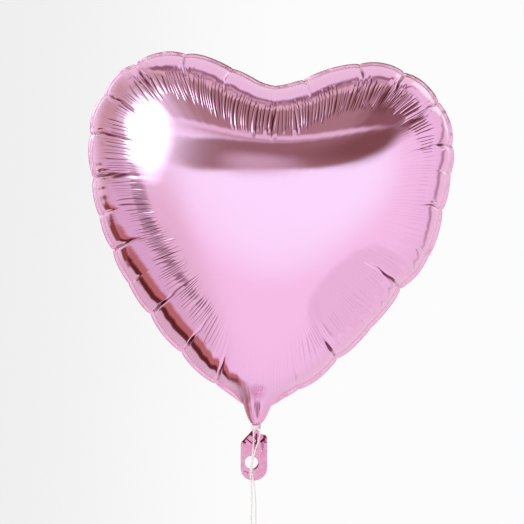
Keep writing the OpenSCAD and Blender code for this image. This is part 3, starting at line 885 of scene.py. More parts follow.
@dataclass
class Tail:
    """The filling tail below the tie: two foil sheets and the valve's two clear films, with one hole."""

    width: float = 26.5 * MM
    length: float = 53.5 * MM
    shift: float = -2 * MM
    corner_r: float = 12.5 * MM
    shoulder_drop: float = 7.5 * MM
    shoulder_r: float = 3.5 * MM
    gather_drop: float = 16 * MM
    top: float = -2.9 * MM
    throat_r: float = 3.4 * MM
    hole_r: float = 6.5 * MM
    hole_shift: float = -2.5 * MM
    hole_drop: float = 35.5 * MM
    lean_degrees: float = 3.0
    valve_margin: float = 2.5 * MM
    columns: int = 144
    rings: int = 44
    sheet_t: float = 0.14 * MM
    # Strokes of painted shade in the gather below the tie: x0, z0, x1, z1 and width, in mm.
    shade_strokes: tuple[tuple[float, ...], ...] = (
        (-4, -4.5, -12.6, -14.5, 0.7), (-4, -4.5, -3.2, -9, 0.7), (-5.8, -7, -4.6, -7.6, 1.2),
        (-10.5, -11, -4.5, -16, 0.6), (-13, -14.5, -10.5, -16, 0.8), (0.4, -7, 0.2, -17, 0.8),
        (8.4, -8.5, 8.1, -12, 0.9), (8.1, -12, 5, -14.8, 1.0))

    def outline(self, margin: float) -> Array:
        """The tail's edge as a closed line, round from the lower right corner.

        Args:
            margin: How far the line stays inside the tail's own edge.

        Returns:
            Its points in the plane of the film, before the lean.
        """
        left = self.shift - self.width / 2 + margin
        right = self.shift + self.width / 2 - margin
        bottom = -self.length + margin
        corner, top_corner = self.corner_r - margin, max(0.5 * MM, self.shoulder_r - margin)
        shoulder = -self.shoulder_drop - margin

        def arc(x: float, z: float, radius: float, start: float, end: float) -> Array:
            angle = np.radians(np.linspace(start, end, 16))
            return np.c_[x + radius * np.cos(angle), z + radius * np.sin(angle)]

        return np.concatenate([
            arc(left + corner, bottom + corner, corner, 180, 270),
            arc(right - corner, bottom + corner, corner, 270, 360),
            arc(right - top_corner, shoulder - top_corner, top_corner, 0, 90),
            [[self.throat_r + 0.3 * MM, shoulder], [self.throat_r, self.top], [-self.throat_r, self.top],
             [left, -self.gather_drop - margin / 2]]])

    def hole_at(self) -> tuple[float, float]:
        """The hole's centre in the frame, as x and z."""
        lean, x, z = math.radians(self.lean_degrees), self.shift + self.hole_shift, -self.hole_drop
        return x * math.cos(lean) - z * math.sin(lean), x * math.sin(lean) + z * math.cos(lean)

    def crumple(self, x: Array, z: Array) -> Array:
        """How far the film leaves its plane, the same for all its sheets."""
        down = -z
        angle = np.arctan2(x, down + 1 * MM)
        fold = np.cos(angle * 9 + 0.7) + 0.6 * np.cos(angle * 17 + 2.1)
        left = 1 - smooth(-4 * MM, 2 * MM, x)
        fold = fold * (1 + 0.9 * left) + 1.3 * left * np.cos((x + 0.7 * z) / (0.8 * MM))
        near = smooth(2.5 * MM, 8 * MM, down) * (1 - smooth(10 * MM, 34 * MM - 14 * MM * left, down))
        pleat = 0.9 * MM * fold * near
        slant = 0.5 * MM * np.sin((x * 0.8 + z * 0.6) / (5.5 * MM)) \
            + 0.3 * MM * np.sin((x - z * 0.35) / (2.9 * MM))
        calm = smooth(6 * MM, 16 * MM, down)
        curl = 1.4 * MM * smooth(6 * MM, 13 * MM, x - self.shift) * (1 - smooth(8 * MM, 26 * MM, down))
        bulge = pleat + slant * calm - curl
        strings = 1 - smooth(6 * MM, 10 * MM, np.abs(x + 1.5 * MM))
        bulge = bulge * (1 - strings) + np.maximum(bulge, 0) * strings
        clear_of_tie = -0.4 * MM + 6 * MM * smooth(8.8 * MM, 13 * MM, down)
        return np.minimum(bulge, clear_of_tie * smooth(0, 3.5 * MM, down))

    def fold_shade_marks(self, x: Array, z: Array) -> Array:
        """Where the finish darkens the film with painted shade: strokes in the gather below the tie, and a
        painted shadow at the hole's lower right.

        The strokes are colour alone. They were placed from the photograph and have no relief.
        """
        painted_shade = np.zeros_like(x)
        for x0, z0, x1, z1, width in np.array(self.shade_strokes) * MM:
            way = np.array([x1 - x0, z1 - z0])
            share = np.clip(((x - x0) * way[0] + (z - z0) * way[1]) / (way @ way), 0, 1)
            off = np.hypot(x - x0 - share * way[0], z - z0 - share * way[1])
            painted_shade = np.maximum(painted_shade, np.exp(-(off / width) ** 2))
        ring = np.hypot(x - self.shift - self.hole_shift, z + self.hole_drop) - self.hole_r
        turn = np.arctan2(z + self.hole_drop, x - self.shift - self.hole_shift)
        lip_shadow = np.exp(-((ring - 0.6 * MM) / (0.7 * MM)) ** 2) * np.exp(-((turn + 0.75) / 0.55) ** 4)
        return np.maximum(painted_shade, lip_shadow)

    def build_film(self, name: str, node: str, level: float, margin: float) -> bpy.types.Object:
        """Makes one sheet of the tail.

        Args:
            name: The piece's name.
            node: The CAD node it stands for.
            level: The sheet's place along +Y.
            margin: How far its edge stays inside the foil's.

        Returns:
            The sheet, from the round hole out to the edge.
        """
        hole = np.array([self.shift + self.hole_shift, -self.hole_drop])
        angle = np.append(np.arange(self.columns), 0) * 2 * np.pi / self.columns
        way = np.c_[np.cos(angle), np.sin(angle)]
        hole_r = self.hole_r + (0.25 * MM if margin else 0)
        reach = self._reach(hole, way, self.outline(margin))
        part = np.linspace(0, 1, self.rings + 1)
        flat = hole + way[:, None] * (hole_r + part[None, :, None] * (reach[:, None, None] - hole_r))
        bend = self.crumple(flat[..., 0], flat[..., 1])
        lean = math.radians(self.lean_degrees)
        x = flat[..., 0] * math.cos(lean) - flat[..., 1] * math.sin(lean)
        z = flat[..., 0] * math.sin(lean) + flat[..., 1] * math.cos(lean)
        front = np.stack([x, bend + level, z], -1)
        back = front + [0, self.sheet_t, 0]
        places = np.concatenate([front, back[:, ::-1], front[:, :1]], axis=1)
        coords = np.concatenate([flat, flat[:, ::-1], flat[:, :1]], axis=1)
        folds = np.zeros_like(places)
        # The third number is painted shade: the fold strokes and the shadow at the hole's lip.
        folds[..., 2] = self.fold_shade_marks(coords[..., 0], coords[..., 1])
        piece = finish_mesh(lattice(places, coords, folds), name)
        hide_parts(node)
        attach(piece, "tail")
        LOG.info("%s: hole %.1f mm across", name, 2000 * hole_r)
        return piece

    @staticmethod
    def _reach(centre: Array, way: Array, line: Array) -> Array:
        """How far rays from a centre run to a closed line."""
        start, end = line - centre, np.roll(line, -1, 0) - centre
        span = end - start
        cross = way[:, None, 0] * span[None, :, 1] - way[:, None, 1] * span[None, :, 0]
        cross = np.where(np.abs(cross) < 1e-15, 1e-15, cross)
        reach = (start[None, :, 0] * span[None, :, 1] - start[None, :, 1] * span[None, :, 0]) / cross
        share = (start[None, :, 0] * way[:, None, 1] - start[None, :, 1] * way[:, None, 0]) / cross
        hit = (share > -1e-6) & (share < 1 + 1e-6) & (reach > 0)
        return np.where(hit, reach, 1).min(1)

    def build(self, foil: bpy.types.Material, clear: bpy.types.Material) -> None:
        """Makes and dresses the four sheets, front to rear."""
        for name, node, level, margin, material, slot in (
                ("tail_front_foil", "tail_front_film", -0.6 * MM, 0, foil, "tail_foil"),
                ("tail_valve_front", "tail_valve_front_film", -0.25 * MM, self.valve_margin, clear,
                 "valve_film"),
                ("tail_valve_rear", "tail_valve_rear_film", 0.1 * MM, self.valve_margin, clear,
                 "valve_film"),
                ("tail_rear_foil", "tail_rear_film", 0.45 * MM, 0, foil, "tail_foil")):
            dress(self.build_film(name, node, level, margin), material)


# --- The string -----------------------------------------------------------------------------------


@dataclass
class TieString:
    """The twisted string: wound round the neck, knotted, and hanging as two strands to a last knot."""

    diameter: float = 1.6 * MM
    turns: int = 3
    pitch: float = 1.5 * MM
    wound_r: float = 4.35 * MM
    knot_at: tuple[float, float, float] = (0.5 * MM, -6.4 * MM, -0.5 * MM)
    end_knot_at: tuple[float, float, float] = (3.1 * MM, 0, -108 * MM)
    left_route: tuple = (
        (0, -6.5, -1), (-1, -6.5, -2.5), (-1.9, -5.5, -5), (-2, -4.5, -9), (-1.7, -3.5, -14),
        (-1.6, -2.6, -20), (-1.7, -2.1, -27), (-2.3, -1.9, -33), (-3.2, -1.8, -39), (-3.2, -1.8, -45),
        (-2.2, -1.8, -52), (-1.2, -1.6, -60), (-0.5, -1.2, -70), (0, -0.8, -80), (0.2, -0.4, -90),
        (1, -0.2, -98), (2.2, 0, -106))
    right_route: tuple = (
        (1.5, -6.8, -1), (3, -7, -2.2), (4, -6.6, -5), (4.1, -6, -9), (3.2, -5.2, -14), (1.7, -4.6, -19),
        (0.2, -4.1, -25), (-0.7, -3.8, -30), (-1.6, -3.6, -35), (-2, -3.5, -40), (-1.6, -3.4, -45),
        (-0.1, -3, -52), (1.8, -2.2, -60), (3.1, -1.4, -70), (4, -0.8, -80), (4.6, -0.4, -90),
        (4.9, -0.2, -98), (4, 0, -106))

    def build(self, twine: bpy.types.Material) -> None:
        """Makes and dresses the tie, its knot, the two strands and the end knot."""
        self._add("neck_tie_string", self._winding(), twine, "neck_tie")
        self._add("tie_knot_string", self._knot(self.knot_at, 1.15 * MM, 0.9), twine, "tie_knot")
        end = self._add("end_knot_string", self._knot(self.end_knot_at, 1.3 * MM, 0.2), twine, "string_end_knot")
        for name, node, route, pieces in (
                ("left_strand", "string_left_strand", self.left_route, (end,)),
                ("right_strand", "string_right_strand", self.right_route, ())):
            line = flowing(np.array(route) * MM)
            strand = self._add(name, line, twine, node)

    def _add(self, name: str, line: Array, twine: bpy.types.Material, node: str) -> bpy.types.Object:
        """Makes one string along a line."""
        piece = finish_mesh(tube(line, self.diameter / 2), name)
        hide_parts(node)
        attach(piece, "balloon")
        dress(piece, twine)
        LOG.info("%s: %d faces", name, len(piece.data.polygons))
        return piece

    def _winding(self) -> Array:
        """The turns round the neck, whose ends come forward into the knot."""
        turn = np.linspace(0, self.turns, 40 * self.turns)
        angle = 2 * np.pi * turn
        rise = (turn - self.turns / 2) * self.pitch
        ring = np.c_[self.wound_r * np.sin(angle), -self.wound_r * np.cos(angle), -rise]
        knot = np.array(self.knot_at)
        return flowing(np.concatenate([[knot + [0.6 * MM, -0.3 * MM, 0.6 * MM]], ring[4:-4:6],
                                       [knot + [-0.6 * MM, -0.3 * MM, -0.6 * MM]]]))

    def _knot(self, centre: tuple[float, float, float], size: float, lean: float) -> Array:
        """An overhand knot pulled tight."""
        t = np.linspace(0.35, 2 * np.pi - 0.35, 120)
        loop = np.c_[np.sin(t) + 2 * np.sin(2 * t), -1.4 * np.sin(3 * t), np.cos(t) - 2 * np.cos(2 * t)] / 3
        turn = np.array(Matrix.Rotation(lean, 3, "Y"))
        return flowing(np.array(centre) + size * 1.5 * loop @ turn.T, 0.25 * MM)


# --- Finishes -------------------------------------------------------------------------------------


@dataclass(frozen=True)
class FoilFinishAndShade:
    """Pink lacquered polyester film with an aluminium layer evaporated on its back.

    The film's own coordinates are metres along the rim, taken 30 mm inside it, and metres in from the
    edge. Its "folds" hold the share of the way across the pleats' zone, their strength and the depth
    in a crease, where painted shade goes. The heat-sealed edge is finely embossed and the neck is gathered,
    so both are duller. The colour holds painted shade: darker pink along the rim, and dark pleat grooves and
    creases.
    """

    name: str
    colour: str
    roughness: float
    seam_roughness: float = 0.34
    seam_width: float = 10 * MM
    neck_top: float = 60 * MM
    pleat_pitch: float = 3.5 * MM
    pleat_height: float = 0.3 * MM
    low_pleats: float = 0.04
    # Painted shade: the pleats' grooves, a band along the rim and the creases are darkened towards these
    # colours.
    groove_shade_colour: str = "7c3e56"
    rim_shade_colour: str = "fbceee"
    crease_shade_colour: str = "741038"
    crinkle: float = 0.05 * MM
    crinkle_size: float = 28 * MM
    rim: bool = True

    def make(self) -> bpy.types.Material:
        """Makes the material."""
        material = bpy.data.materials.new(self.name)
        material.use_nodes = True
        tree = material.node_tree
        shader = tree.nodes["Principled BSDF"]
        shader.inputs["Base Color"].default_value = srgb(self.colour)
        shader.inputs["Metallic"].default_value = 1
        shader.inputs["Roughness"].default_value = self.roughness
        height = self._crinkles(tree)
        folds = add_node(tree, "ShaderNodeAttribute", attribute_name="folds").outputs["Vector"]
        marks = add_node(tree, "ShaderNodeSeparateXYZ", {0: folds}).outputs
        # Painted shade in the creases, the neck's fold and the tail's fold strokes.
        shade_tints = [(self._rise(tree, marks["Z"], 0.18, 0.6), self.crease_shade_colour)]
        if self.rim:
            film = add_node(tree, "ShaderNodeUVMap", uv_map="film").outputs[0]
            part = add_node(tree, "ShaderNodeSeparateXYZ", {0: film}).outputs
            # The second result marks the grooves between the pleats, which take painted shade.
            pleats, groove_shade = self._pleats(tree, film, part["X"], part["Y"], marks)
            height = self._maths(tree, "ADD", height, pleats)
            sealed = self._rise(tree, part["Y"], self.seam_width, 0.3 * self.seam_width)
            # A band along the rim, darker pink towards the edge: painted shade.
            rim_shade = self._rise(tree, part["Y"], 2.6 * self.seam_width, 0.8 * self.seam_width)
            shade_tints = [(rim_shade, self.rim_shade_colour), (groove_shade, self.groove_shade_colour), *shade_tints]
            place = add_node(tree, "ShaderNodeTexCoord").outputs["Object"]
            up = add_node(tree, "ShaderNodeSeparateXYZ", {0: place}).outputs["Z"]
            neck = self._rise(tree, up, self.neck_top, 0.45 * self.neck_top)
            sealed = self._maths(tree, "MAXIMUM", sealed, neck)
            dull = self._maths(tree, "MULTIPLY_ADD", sealed, self.seam_roughness - self.roughness,
                               self.roughness)
            tree.links.new(dull, shader.inputs["Roughness"])
        shade = srgb(self.colour)
        for part_of, tint in shade_tints:
            shade = out_of(add_node(tree, "ShaderNodeMix", {"Factor": part_of, "A": shade, "B": srgb(tint)},
                                    data_type="RGBA"))
        tree.links.new(shade, shader.inputs["Base Color"])
        bump = add_node(tree, "ShaderNodeBump", {"Height": height, "Strength": 1.0, "Distance": 1.0})
        tree.links.new(bump.outputs[0], shader.inputs["Normal"])
        return material

    @staticmethod
    def _maths(tree: bpy.types.NodeTree, operation: str, *values: object) -> bpy.types.NodeSocket:
        """Adds one sum and returns its result."""
        return add_node(tree, "ShaderNodeMath", dict(enumerate(values)), operation=operation).outputs[0]

    @staticmethod
    def _rise(tree: bpy.types.NodeTree, value: object, low: object, high: object) -> bpy.types.NodeSocket:
        """Goes smoothly from 0 at low to 1 at high."""
        return add_node(tree, "ShaderNodeMapRange", {"Value": value, "From Min": low, "From Max": high},
                        interpolation_type="SMOOTHSTEP").outputs["Result"]

    def _crinkles(self, tree: bpy.types.NodeTree) -> bpy.types.NodeSocket:
        """Very low uneven tension of the film, a few centimetres across."""
        place = add_node(tree, "ShaderNodeTexCoord").outputs["Object"]
        noise = add_node(tree, "ShaderNodeTexNoise", {
            "Vector": place, "Scale": 1 / self.crinkle_size, "Detail": 2.0})
        return self._maths(tree, "MULTIPLY", noise.outputs[0], self.crinkle)

    def _pleats(self, tree: bpy.types.NodeTree, film: bpy.types.NodeSocket, along: bpy.types.NodeSocket,
                inwards: bpy.types.NodeSocket,
                marks: object) -> tuple[bpy.types.NodeSocket, bpy.types.NodeSocket]:
        """Bump height of the fine pleats, rounded with sharp grooves between, and where the grooves are, which
        the finish darkens as painted shade.
        """

        def maths(operation: str, *values: object) -> bpy.types.NodeSocket:
            return self._maths(tree, operation, *values)

        stretched = add_node(tree, "ShaderNodeMapping", {"Vector": film, "Scale": (60, 9, 1)}).outputs[0]
        drift = add_node(tree, "ShaderNodeTexNoise", {"Vector": stretched, "Scale": 1.0, "Detail": 1.0},
                         noise_dimensions="2D").outputs[0]
        place = maths("ADD", maths("DIVIDE", along, self.pleat_pitch), maths("MULTIPLY", drift, 3.4))
        chance = add_node(tree, "ShaderNodeTexWhiteNoise", {"W": maths("FLOOR", place)},
                          noise_dimensions="1D")
        shares = add_node(tree, "ShaderNodeSeparateColor", {0: chance.outputs["Color"]}).outputs
        start = maths("MULTIPLY_ADD", shares[0], 0.3, -0.1)
        stop = maths("MULTIPLY_ADD", shares[1], -0.25, 1.2)
        inside = self._rise(tree, marks["X"], start, maths("ADD", start, 0.22))
        outside = self._rise(tree, marks["X"], stop, maths("SUBTRACT", stop, 0.3))
        from_rim = self._rise(tree, inwards, 11 * MM, 15 * MM)
        low = maths("MULTIPLY", from_rim, self._rise(tree, inwards, 66 * MM, 50 * MM))
        strength = maths("MULTIPLY", marks["Y"], maths("MULTIPLY", inside, outside))
        strength = maths("MAXIMUM", strength, maths("MULTIPLY", low, self.low_pleats))
        strength = maths("MULTIPLY", strength, maths("MULTIPLY_ADD", shares[2], 0.9, 0.25))
        ridge = maths("ABSOLUTE", maths("SINE", maths("MULTIPLY", place, math.pi)))
        between = self._rise(tree, ridge, 0.6, 0.1)
        groove_shade = maths("MULTIPLY", between, maths("MINIMUM", maths("MULTIPLY", strength, 1.8), 1))
        return maths("MULTIPLY", maths("MULTIPLY", ridge, self.pleat_height), strength), groove_shade


@dataclass(frozen=True)
class ClearFilmFinish:
    """Clear polyethylene film."""

    name: str
    colour: str
    roughness: float
    alpha: float

    def make(self) -> bpy.types.Material:
        """Makes the material."""
        material = bpy.data.materials.new(self.name)
        material.use_nodes = True
        shader = material.node_tree.nodes["Principled BSDF"]
        shader.inputs["Base Color"].default_value = srgb(self.colour)
        shader.inputs["Roughness"].default_value = self.roughness
        shader.inputs["Alpha"].default_value = self.alpha
        return material


@dataclass(frozen=True)
class TwineFinish:
    """White twisted twine."""

    name: str
    colour: str
    roughness: float

    def make(self) -> bpy.types.Material:
        """Makes the material."""
        material = bpy.data.materials.new(self.name)
        material.use_nodes = True
        shader = material.node_tree.nodes["Principled BSDF"]
        shader.inputs["Base Color"].default_value = srgb(self.colour)
        shader.inputs["Roughness"].default_value = self.roughness
        return material


# --- Floor, light and backdrop --------------------------------------------------------------------


class Facing(Enum):
    """Which way round the balloon a patch of the room is placed: about -Y or about +Y."""

    BEFORE = -1
    BEHIND = 1


@dataclass(frozen=True)
class Patch:
    """One soft-edged area of the room that the foil mirrors.

    Places and sizes are in degrees, seen from the balloon: to the right of and above the direction
    that it faces. Soft is the share of the size over which the edge fades.
    """

    name: str
    at: tuple[float, float]
    size: tuple[float, float]
    colour: str
    strength: float = 1.0
    soft: float = 0.3
    turn: float = 0.0
    facing: Facing = Facing.BEFORE


@dataclass
class Room:
    """The room round the balloon, as the foil mirrors it: a window, a dark ceiling, walls and a shelf.

    The patches' colours and places were read from the photograph's reflections by a scratch script and
    then moved by hand. With no patches, the foil mirrors plain walls and the window.
    """

    walls: str = "f0d6e1"
    patches: tuple[Patch, ...] = (
        Patch("rear_wall", (-10, -6), (62, 72), "ecdae2", 1.0, 0.6, 0, Facing.BEHIND),
        Patch("rear_window", (26, 26), (13, 19), "ffffff", 1.1, 0.4, 0, Facing.BEHIND),
        Patch("wall_before", (16, -14), (62, 80), "f8e0e9", 1.0, 0.6),
        Patch("centre_glow", (10, 11), (34, 21), "ffffff", 1.0, 0.6),
        Patch("lower_right_wall", (62, -48), (46, 18), "ebd2da", 1.0, 0.07, -35),
        Patch("upper_back_wall", (0, 150), (120, 36), "eedde6", 1.0, 0.4),
        Patch("left_wall", (-84, 16), (44, 82), "c8aca4", 1.0, 0.5, 8),
        Patch("lower_left_wall", (-84, -40), (40, 46), "dabec8", 1.0, 0.6),
        Patch("behind_shelf", (-112, -106), (66, 42), "dac2ca", 1.0, 0.5, -45),
        Patch("ceiling", (2, 68), (62, 37), "a98680", 1.0, 0.18, -4),
        Patch("ceiling_left", (-42, 66), (24, 26), "c2a89c", 1.0, 0.7),
        Patch("ceiling_light", (-4, 92), (56, 6), "dcc0ba", 1.0, 0.5, -2),
        Patch("beam", (-34, 104), (34, 6), "946c70", 1.0, 0.5, 9),
        Patch("beam_right", (32, 107), (38, 4.5), "9c7478", 1.0, 0.6, -8),
        Patch("dark_ceiling", (44, 58), (29, 22), "84605b", 1.0, 0.4, 40),
        Patch("ceiling_core", (36, 64), (14, 11), "6c4640", 1.0, 0.6, 20),
        Patch("ceiling_edge", (30, 42), (17, 9), "8a6260", 1.0, 0.3, 24),
        Patch("ceiling_gap", (-4, 37.5), (38, 2.4), "e6ced2", 1.0, 0.6, 2),
        Patch("lintel_left", (-14, 19), (25, 8), "b89e98", 1.0, 0.18, 3),
        Patch("lintel", (6, 24), (32, 9.5), "94706a", 1.0, 0.14, 14),
        Patch("lintel_core", (26, 28.5), (20, 8.5), "7c544c", 1.0, 0.5, 20),
        Patch("smudge", (-2, 16), (5, 5), "c8b0b0", 1.0, 0.8),
        Patch("window_glow", (-48, 29), (26, 32), "ffffff", 1.0, 0.7),
        Patch("shelf_flank", (-70, -78), (66, 12), "b8766a", 1.0, 0.35, -45),
        Patch("shelf", (-84, -82), (72, 8), "5e2c26", 1.0, 0.4, -43),
        Patch("shelf_end", (-122, -45), (10, 20), "8a4a40", 1.0, 0.3, 10),
        Patch("warm_wall", (-42, -24), (18, 30), "e6ccce", 1.0, 0.8),
        Patch("lamp_shade", (-58, -14), (9, 15), "b0989c", 1.0, 0.25),
        Patch("low_shade", (-47, -30), (12, 5), "9c8086", 1.0, 0.4, -30),
        Patch("right_dusk", (122, 10), (5, 64), "b496a4", 1.0, 0.8))
    window: Patch = Patch("window", (-47, 29), (17, 22), "ffffff", 3.2, 0.45, -6)

    def build(self, tree: bpy.types.NodeTree) -> bpy.types.NodeSocket:
        """Adds the room's nodes and returns its colour."""
        ray = add_node(tree, "ShaderNodeTexCoord").outputs["Generated"]
        discs = {facing: self._disc(tree, ray, facing) for facing in Facing}
        colour = add_node(tree, "ShaderNodeRGB")
        colour.outputs[0].default_value = srgb(self.walls)
        shown = colour.outputs[0]
        for patch in (*self.patches, self.window):
            shown = self._over(tree, shown, discs[patch.facing], patch)
        return shown

    @staticmethod
    def _disc(tree: bpy.types.NodeTree, ray: bpy.types.NodeSocket,
              facing: Facing) -> bpy.types.NodeSocket:
        """Directions as degrees to the right and above, about -Y or +Y."""
        part = add_node(tree, "ShaderNodeSeparateXYZ", {0: ray})
        ahead = add_node(tree, "ShaderNodeMath", {0: part.outputs["Y"], 1: float(facing.value)},
                         operation="MULTIPLY").outputs[0]
        angle = add_node(tree, "ShaderNodeMath", {0: ahead}, operation="ARCCOSINE").outputs[0]
        degrees = add_node(tree, "ShaderNodeMath", {0: angle}, operation="DEGREES").outputs[0]
        across = add_node(tree, "ShaderNodeCombineXYZ", {"X": part.outputs["X"], "Y": part.outputs["Z"]})
        way = add_node(tree, "ShaderNodeVectorMath", {0: across.outputs[0]}, operation="NORMALIZE").outputs[0]
        return add_node(tree, "ShaderNodeVectorMath", {0: way, "Scale": degrees}, operation="SCALE").outputs[0]

    @staticmethod
    def _over(tree: bpy.types.NodeTree, under: bpy.types.NodeSocket, disc: bpy.types.NodeSocket,
              patch: Patch) -> bpy.types.NodeSocket:
        """Lays one patch over what is there."""
        own = add_node(tree, "ShaderNodeMapping", {
            "Vector": disc, "Location": (*patch.at, 0), "Rotation": (0, 0, math.radians(patch.turn)),
            "Scale": (*patch.size, 1)}, vector_type="TEXTURE").outputs[0]
        off = add_node(tree, "ShaderNodeVectorMath", {0: own}, operation="LENGTH").outputs["Value"]
        mask = add_node(tree, "ShaderNodeMapRange", {
            "Value": off, "From Min": 1 + patch.soft, "From Max": 1 - patch.soft},
            interpolation_type="SMOOTHSTEP")
        colour = Vector(srgb(patch.colour)[:3]) * patch.strength
        mix = add_node(tree, "ShaderNodeMix", {"Factor": mask.outputs["Result"], "A": under, "B": (*colour, 1)},
                       data_type="RGBA")
        return out_of(mix)


@dataclass
class Studio:
    """A pale floor, a soft lamp, and the world: near-white for the camera, the room for all other rays."""

    floor_z: float = -0.45
    floor_r: float = 1.2
    lamp_at: tuple[float, float, float] = (-0.7, -1.7, 1.3)
    lamp_size: float = 1.2
    lamp_power: float = 14.0
    # The backdrop that the camera sees is greyer on the left than on the right: painted shade.
    backdrop_left: str = "efefef"
    backdrop_right: str = "fcfcfc"

    def build(self) -> None:
        """Makes the world, the floor and the lamp."""
        world = bpy.data.worlds.new("studio")
        bpy.context.scene.world = world
        world.use_nodes = True
        tree = world.node_tree
        tree.nodes.clear()
        room = Room().build(tree)
        ray = add_node(tree, "ShaderNodeTexCoord").outputs["Generated"]
        # Painted shade on the backdrop: greyer to the left.
        across = add_node(tree, "ShaderNodeSeparateXYZ", {0: ray}).outputs["X"]
        share = add_node(tree, "ShaderNodeMapRange", {"Value": across, "From Min": -0.14, "From Max": 0.02},
                         interpolation_type="SMOOTHSTEP").outputs["Result"]
        backdrop = add_node(tree, "ShaderNodeMix", {
            "Factor": share, "A": srgb(self.backdrop_left), "B": srgb(self.backdrop_right)}, data_type="RGBA")
        seen = add_node(tree, "ShaderNodeLightPath").outputs["Is Camera Ray"]
        mix = add_node(tree, "ShaderNodeMix", {"Factor": seen, "A": room, "B": out_of(backdrop)},
                       data_type="RGBA")
        light = add_node(tree, "ShaderNodeBackground", {"Color": out_of(mix), "Strength": 1.0})
        add_node(tree, "ShaderNodeOutputWorld", {"Surface": light.outputs[0]})
        bm = bmesh.new()
        bmesh.ops.create_circle(bm, cap_ends=True, segments=96, radius=self.floor_r)
        bmesh.ops.translate(bm, verts=bm.verts, vec=(0, 0, self.floor_z))
        floor = finish_mesh(bm, "floor")
        floor.data.materials.append(self._floor_paint())
        lamp = bpy.data.lights.new("soft_lamp", "AREA")
        lamp.shape = "DISK"
        lamp.size = self.lamp_size
        lamp.energy = self.lamp_power
        holder = bpy.data.objects.new("soft_lamp", lamp)
        turned = Vector(self.lamp_at).to_track_quat("Z", "Y").to_matrix().to_4x4()
        holder.matrix_world = Matrix.Translation(self.lamp_at) @ turned
        holder.visible_glossy = False
        bpy.context.scene.collection.objects.link(holder)
        view = bpy.context.scene.view_settings
        view.view_transform = "Standard"

    def _floor_paint(self) -> bpy.types.Material:
        """Pale matt paint that fades out at the floor's edge and isn't mirrored by the foil."""
        material = bpy.data.materials.new("floor_paint")
        material.use_nodes = True
        tree = material.node_tree
        tree.nodes.clear()
        place = add_node(tree, "ShaderNodeTexCoord").outputs["Object"]
        off = add_node(tree, "ShaderNodeVectorMath", {0: place}, operation="LENGTH").outputs["Value"]
        far = add_node(tree, "ShaderNodeMapRange", {
            "Value": off, "From Min": self.floor_r * 0.6, "From Max": self.floor_r * 0.99},
            interpolation_type="SMOOTHSTEP").outputs["Result"]
        glossy = add_node(tree, "ShaderNodeLightPath").outputs["Is Glossy Ray"]
        gone = add_node(tree, "ShaderNodeMath", {0: far, 1: glossy}, operation="MAXIMUM").outputs[0]
        paint = add_node(tree, "ShaderNodeBsdfDiffuse", {"Color": srgb("f6f6f6")})
        clear = add_node(tree, "ShaderNodeBsdfTransparent")
        mix = add_node(tree, "ShaderNodeMixShader", {0: gone})
        tree.links.new(paint.outputs[0], mix.inputs[1])
        tree.links.new(clear.outputs[0], mix.inputs[2])
        add_node(tree, "ShaderNodeOutputMaterial", {"Surface": mix.outputs[0]})
        return material


# --- The whole ------------------------------------------------------------------------------------


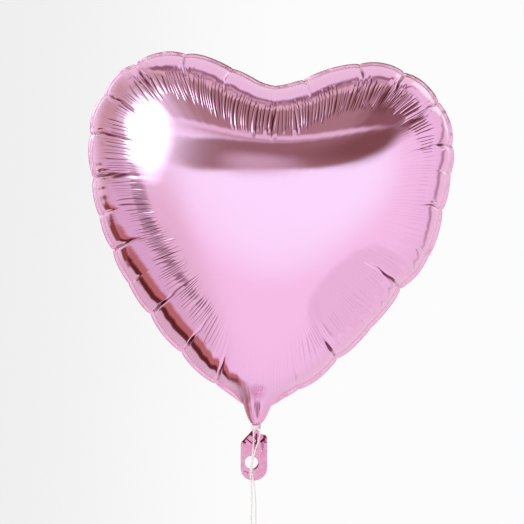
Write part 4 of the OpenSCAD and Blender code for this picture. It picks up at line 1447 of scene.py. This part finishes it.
def save_points(crown_z: float, tail: Tail) -> None:
    """Works out how far each thing shows from its image point, by the finished vertices.

    Args:
        crown_z: Height of the heart's crown.
        tail: The tail, whose hole is one of the points.
    """

    def places(name: str) -> Array:
        return np.array([v.co for v in bpy.data.objects[name].data.vertices])

    front = bpy.data.objects["front_foil"]
    tree = BVHTree.FromObject(front, bpy.context.evaluated_depsgraph_get())
    heart, tie = CAMERA.project(places("front_foil")), CAMERA.project(places("neck_tie_string"))
    sheet = places("tail_front_foil")
    off = np.hypot(sheet[:, 0] - tail.hole_at()[0], sheet[:, 2] - tail.hole_at()[1])
    ring = sheet[off < tail.hole_r + 0.1 * MM]
    ring, sheet = CAMERA.project(ring), CAMERA.project(sheet)
    crown = CAMERA.project(np.array([[0, 0, crown_z]]))[0]
    step = 0.6
    spot = np.round(np.degrees(np.arctan2(*((heart - crown) * [1, -1]).T)) / step).astype(int)
    reach = np.linalg.norm(heart - crown, axis=1)

    def notch(point: tuple[float, float]) -> Array:
        """Where the outline comes nearest the crown, close to a point."""
        at = round(math.degrees(math.atan2(*((np.array(point) - crown) * [1, -1]))) / step)
        edge = [max(np.flatnonzero(spot == k), key=lambda v: reach[v]) for k in range(at - 5, at + 6)]
        trend = np.linspace(reach[edge[0]], reach[edge[-1]], len(edge))
        return heart[edge[int(np.argmin(reach[edge] - trend))]]

    def top(point: tuple[float, float]) -> Array:
        """The outline's top at a point's x."""
        return np.array([point[0], heart[np.abs(heart[:, 0] - point[0]) < 2, 1].min()])

    left, right, low = heart[:, 0].min(), heart[:, 0].max(), sheet[:, 1].max()
    rows = {"heart_left_x": [POINTS.heart_left_x, left - POINTS.heart_left_x, None],
            "heart_right_x": [POINTS.heart_right_x, right - POINTS.heart_right_x, None],
            "tail_bottom_y": [POINTS.tail_bottom_y, None, low - POINTS.tail_bottom_y]}
    shows = {"left_lobe_top": (POINTS.left_lobe_top, top(POINTS.left_lobe_top)),
             "right_lobe_top": (POINTS.right_lobe_top, top(POINTS.right_lobe_top)),
             "cleft": (POINTS.cleft, notch(POINTS.cleft)),
             "tie": (POINTS.tie, (tie.min(0) + tie.max(0)) / 2),
             "hole": (POINTS.hole, (ring.min(0) + ring.max(0)) / 2),
             **{name: (at, notch(at)) for name, at in POINTS.notches.items()}}
    rows |= {name: [list(at), *(float(v) for v in seen - at)] for name, (at, seen) in shows.items()}
    out = {name: {"point": row[0], "off_x": row[1] if row[1] is None else round(float(row[1]), 2),
                  "off_y": row[2] if row[2] is None else round(float(row[2]), 2)} for name, row in rows.items()}
    for name, at in POINTS.notches.items():
        out[name]["on_panel_m"] = [round(c, 5) for c in CAMERA.place_on(tree, at)]


def main() -> None:
    """Builds, dresses and lights the balloon."""
    logging.basicConfig(level=logging.INFO, format="%(name)s: %(message)s")
    CAMERA.build()
    seam = HeartSeam()
    film = FilledFilm(seam)
    foil = FoilFinishAndShade("pink_foil", "fdd7fd", 0.07).make()
    tail_foil = FoilFinishAndShade("pink_tail_foil", "e8aed0", 0.2, crinkle=1.6 * MM, crinkle_size=9 * MM,
                           rim=False).make()
    clear = ClearFilmFinish("clear_film", "e6ecea", 0.2, 0.35).make()
    twine = TwineFinish("white_twine", "f4f2ee", 0.9).make()
    front = BalloonPanel("front_foil", "front_panel", Side.FRONT, film, RimFolds(film, 1)).build()
    rear = BalloonPanel("rear_foil", "rear_panel", Side.REAR, film, RimFolds(film, 2)).build()
    dress(front, foil)
    dress(rear, foil)
    Tail().build(tail_foil, clear)
    TieString().build(twine)
    Studio().build()
    save_points(seam.crown_z, Tail())


if __name__ == "__main__":
    main()
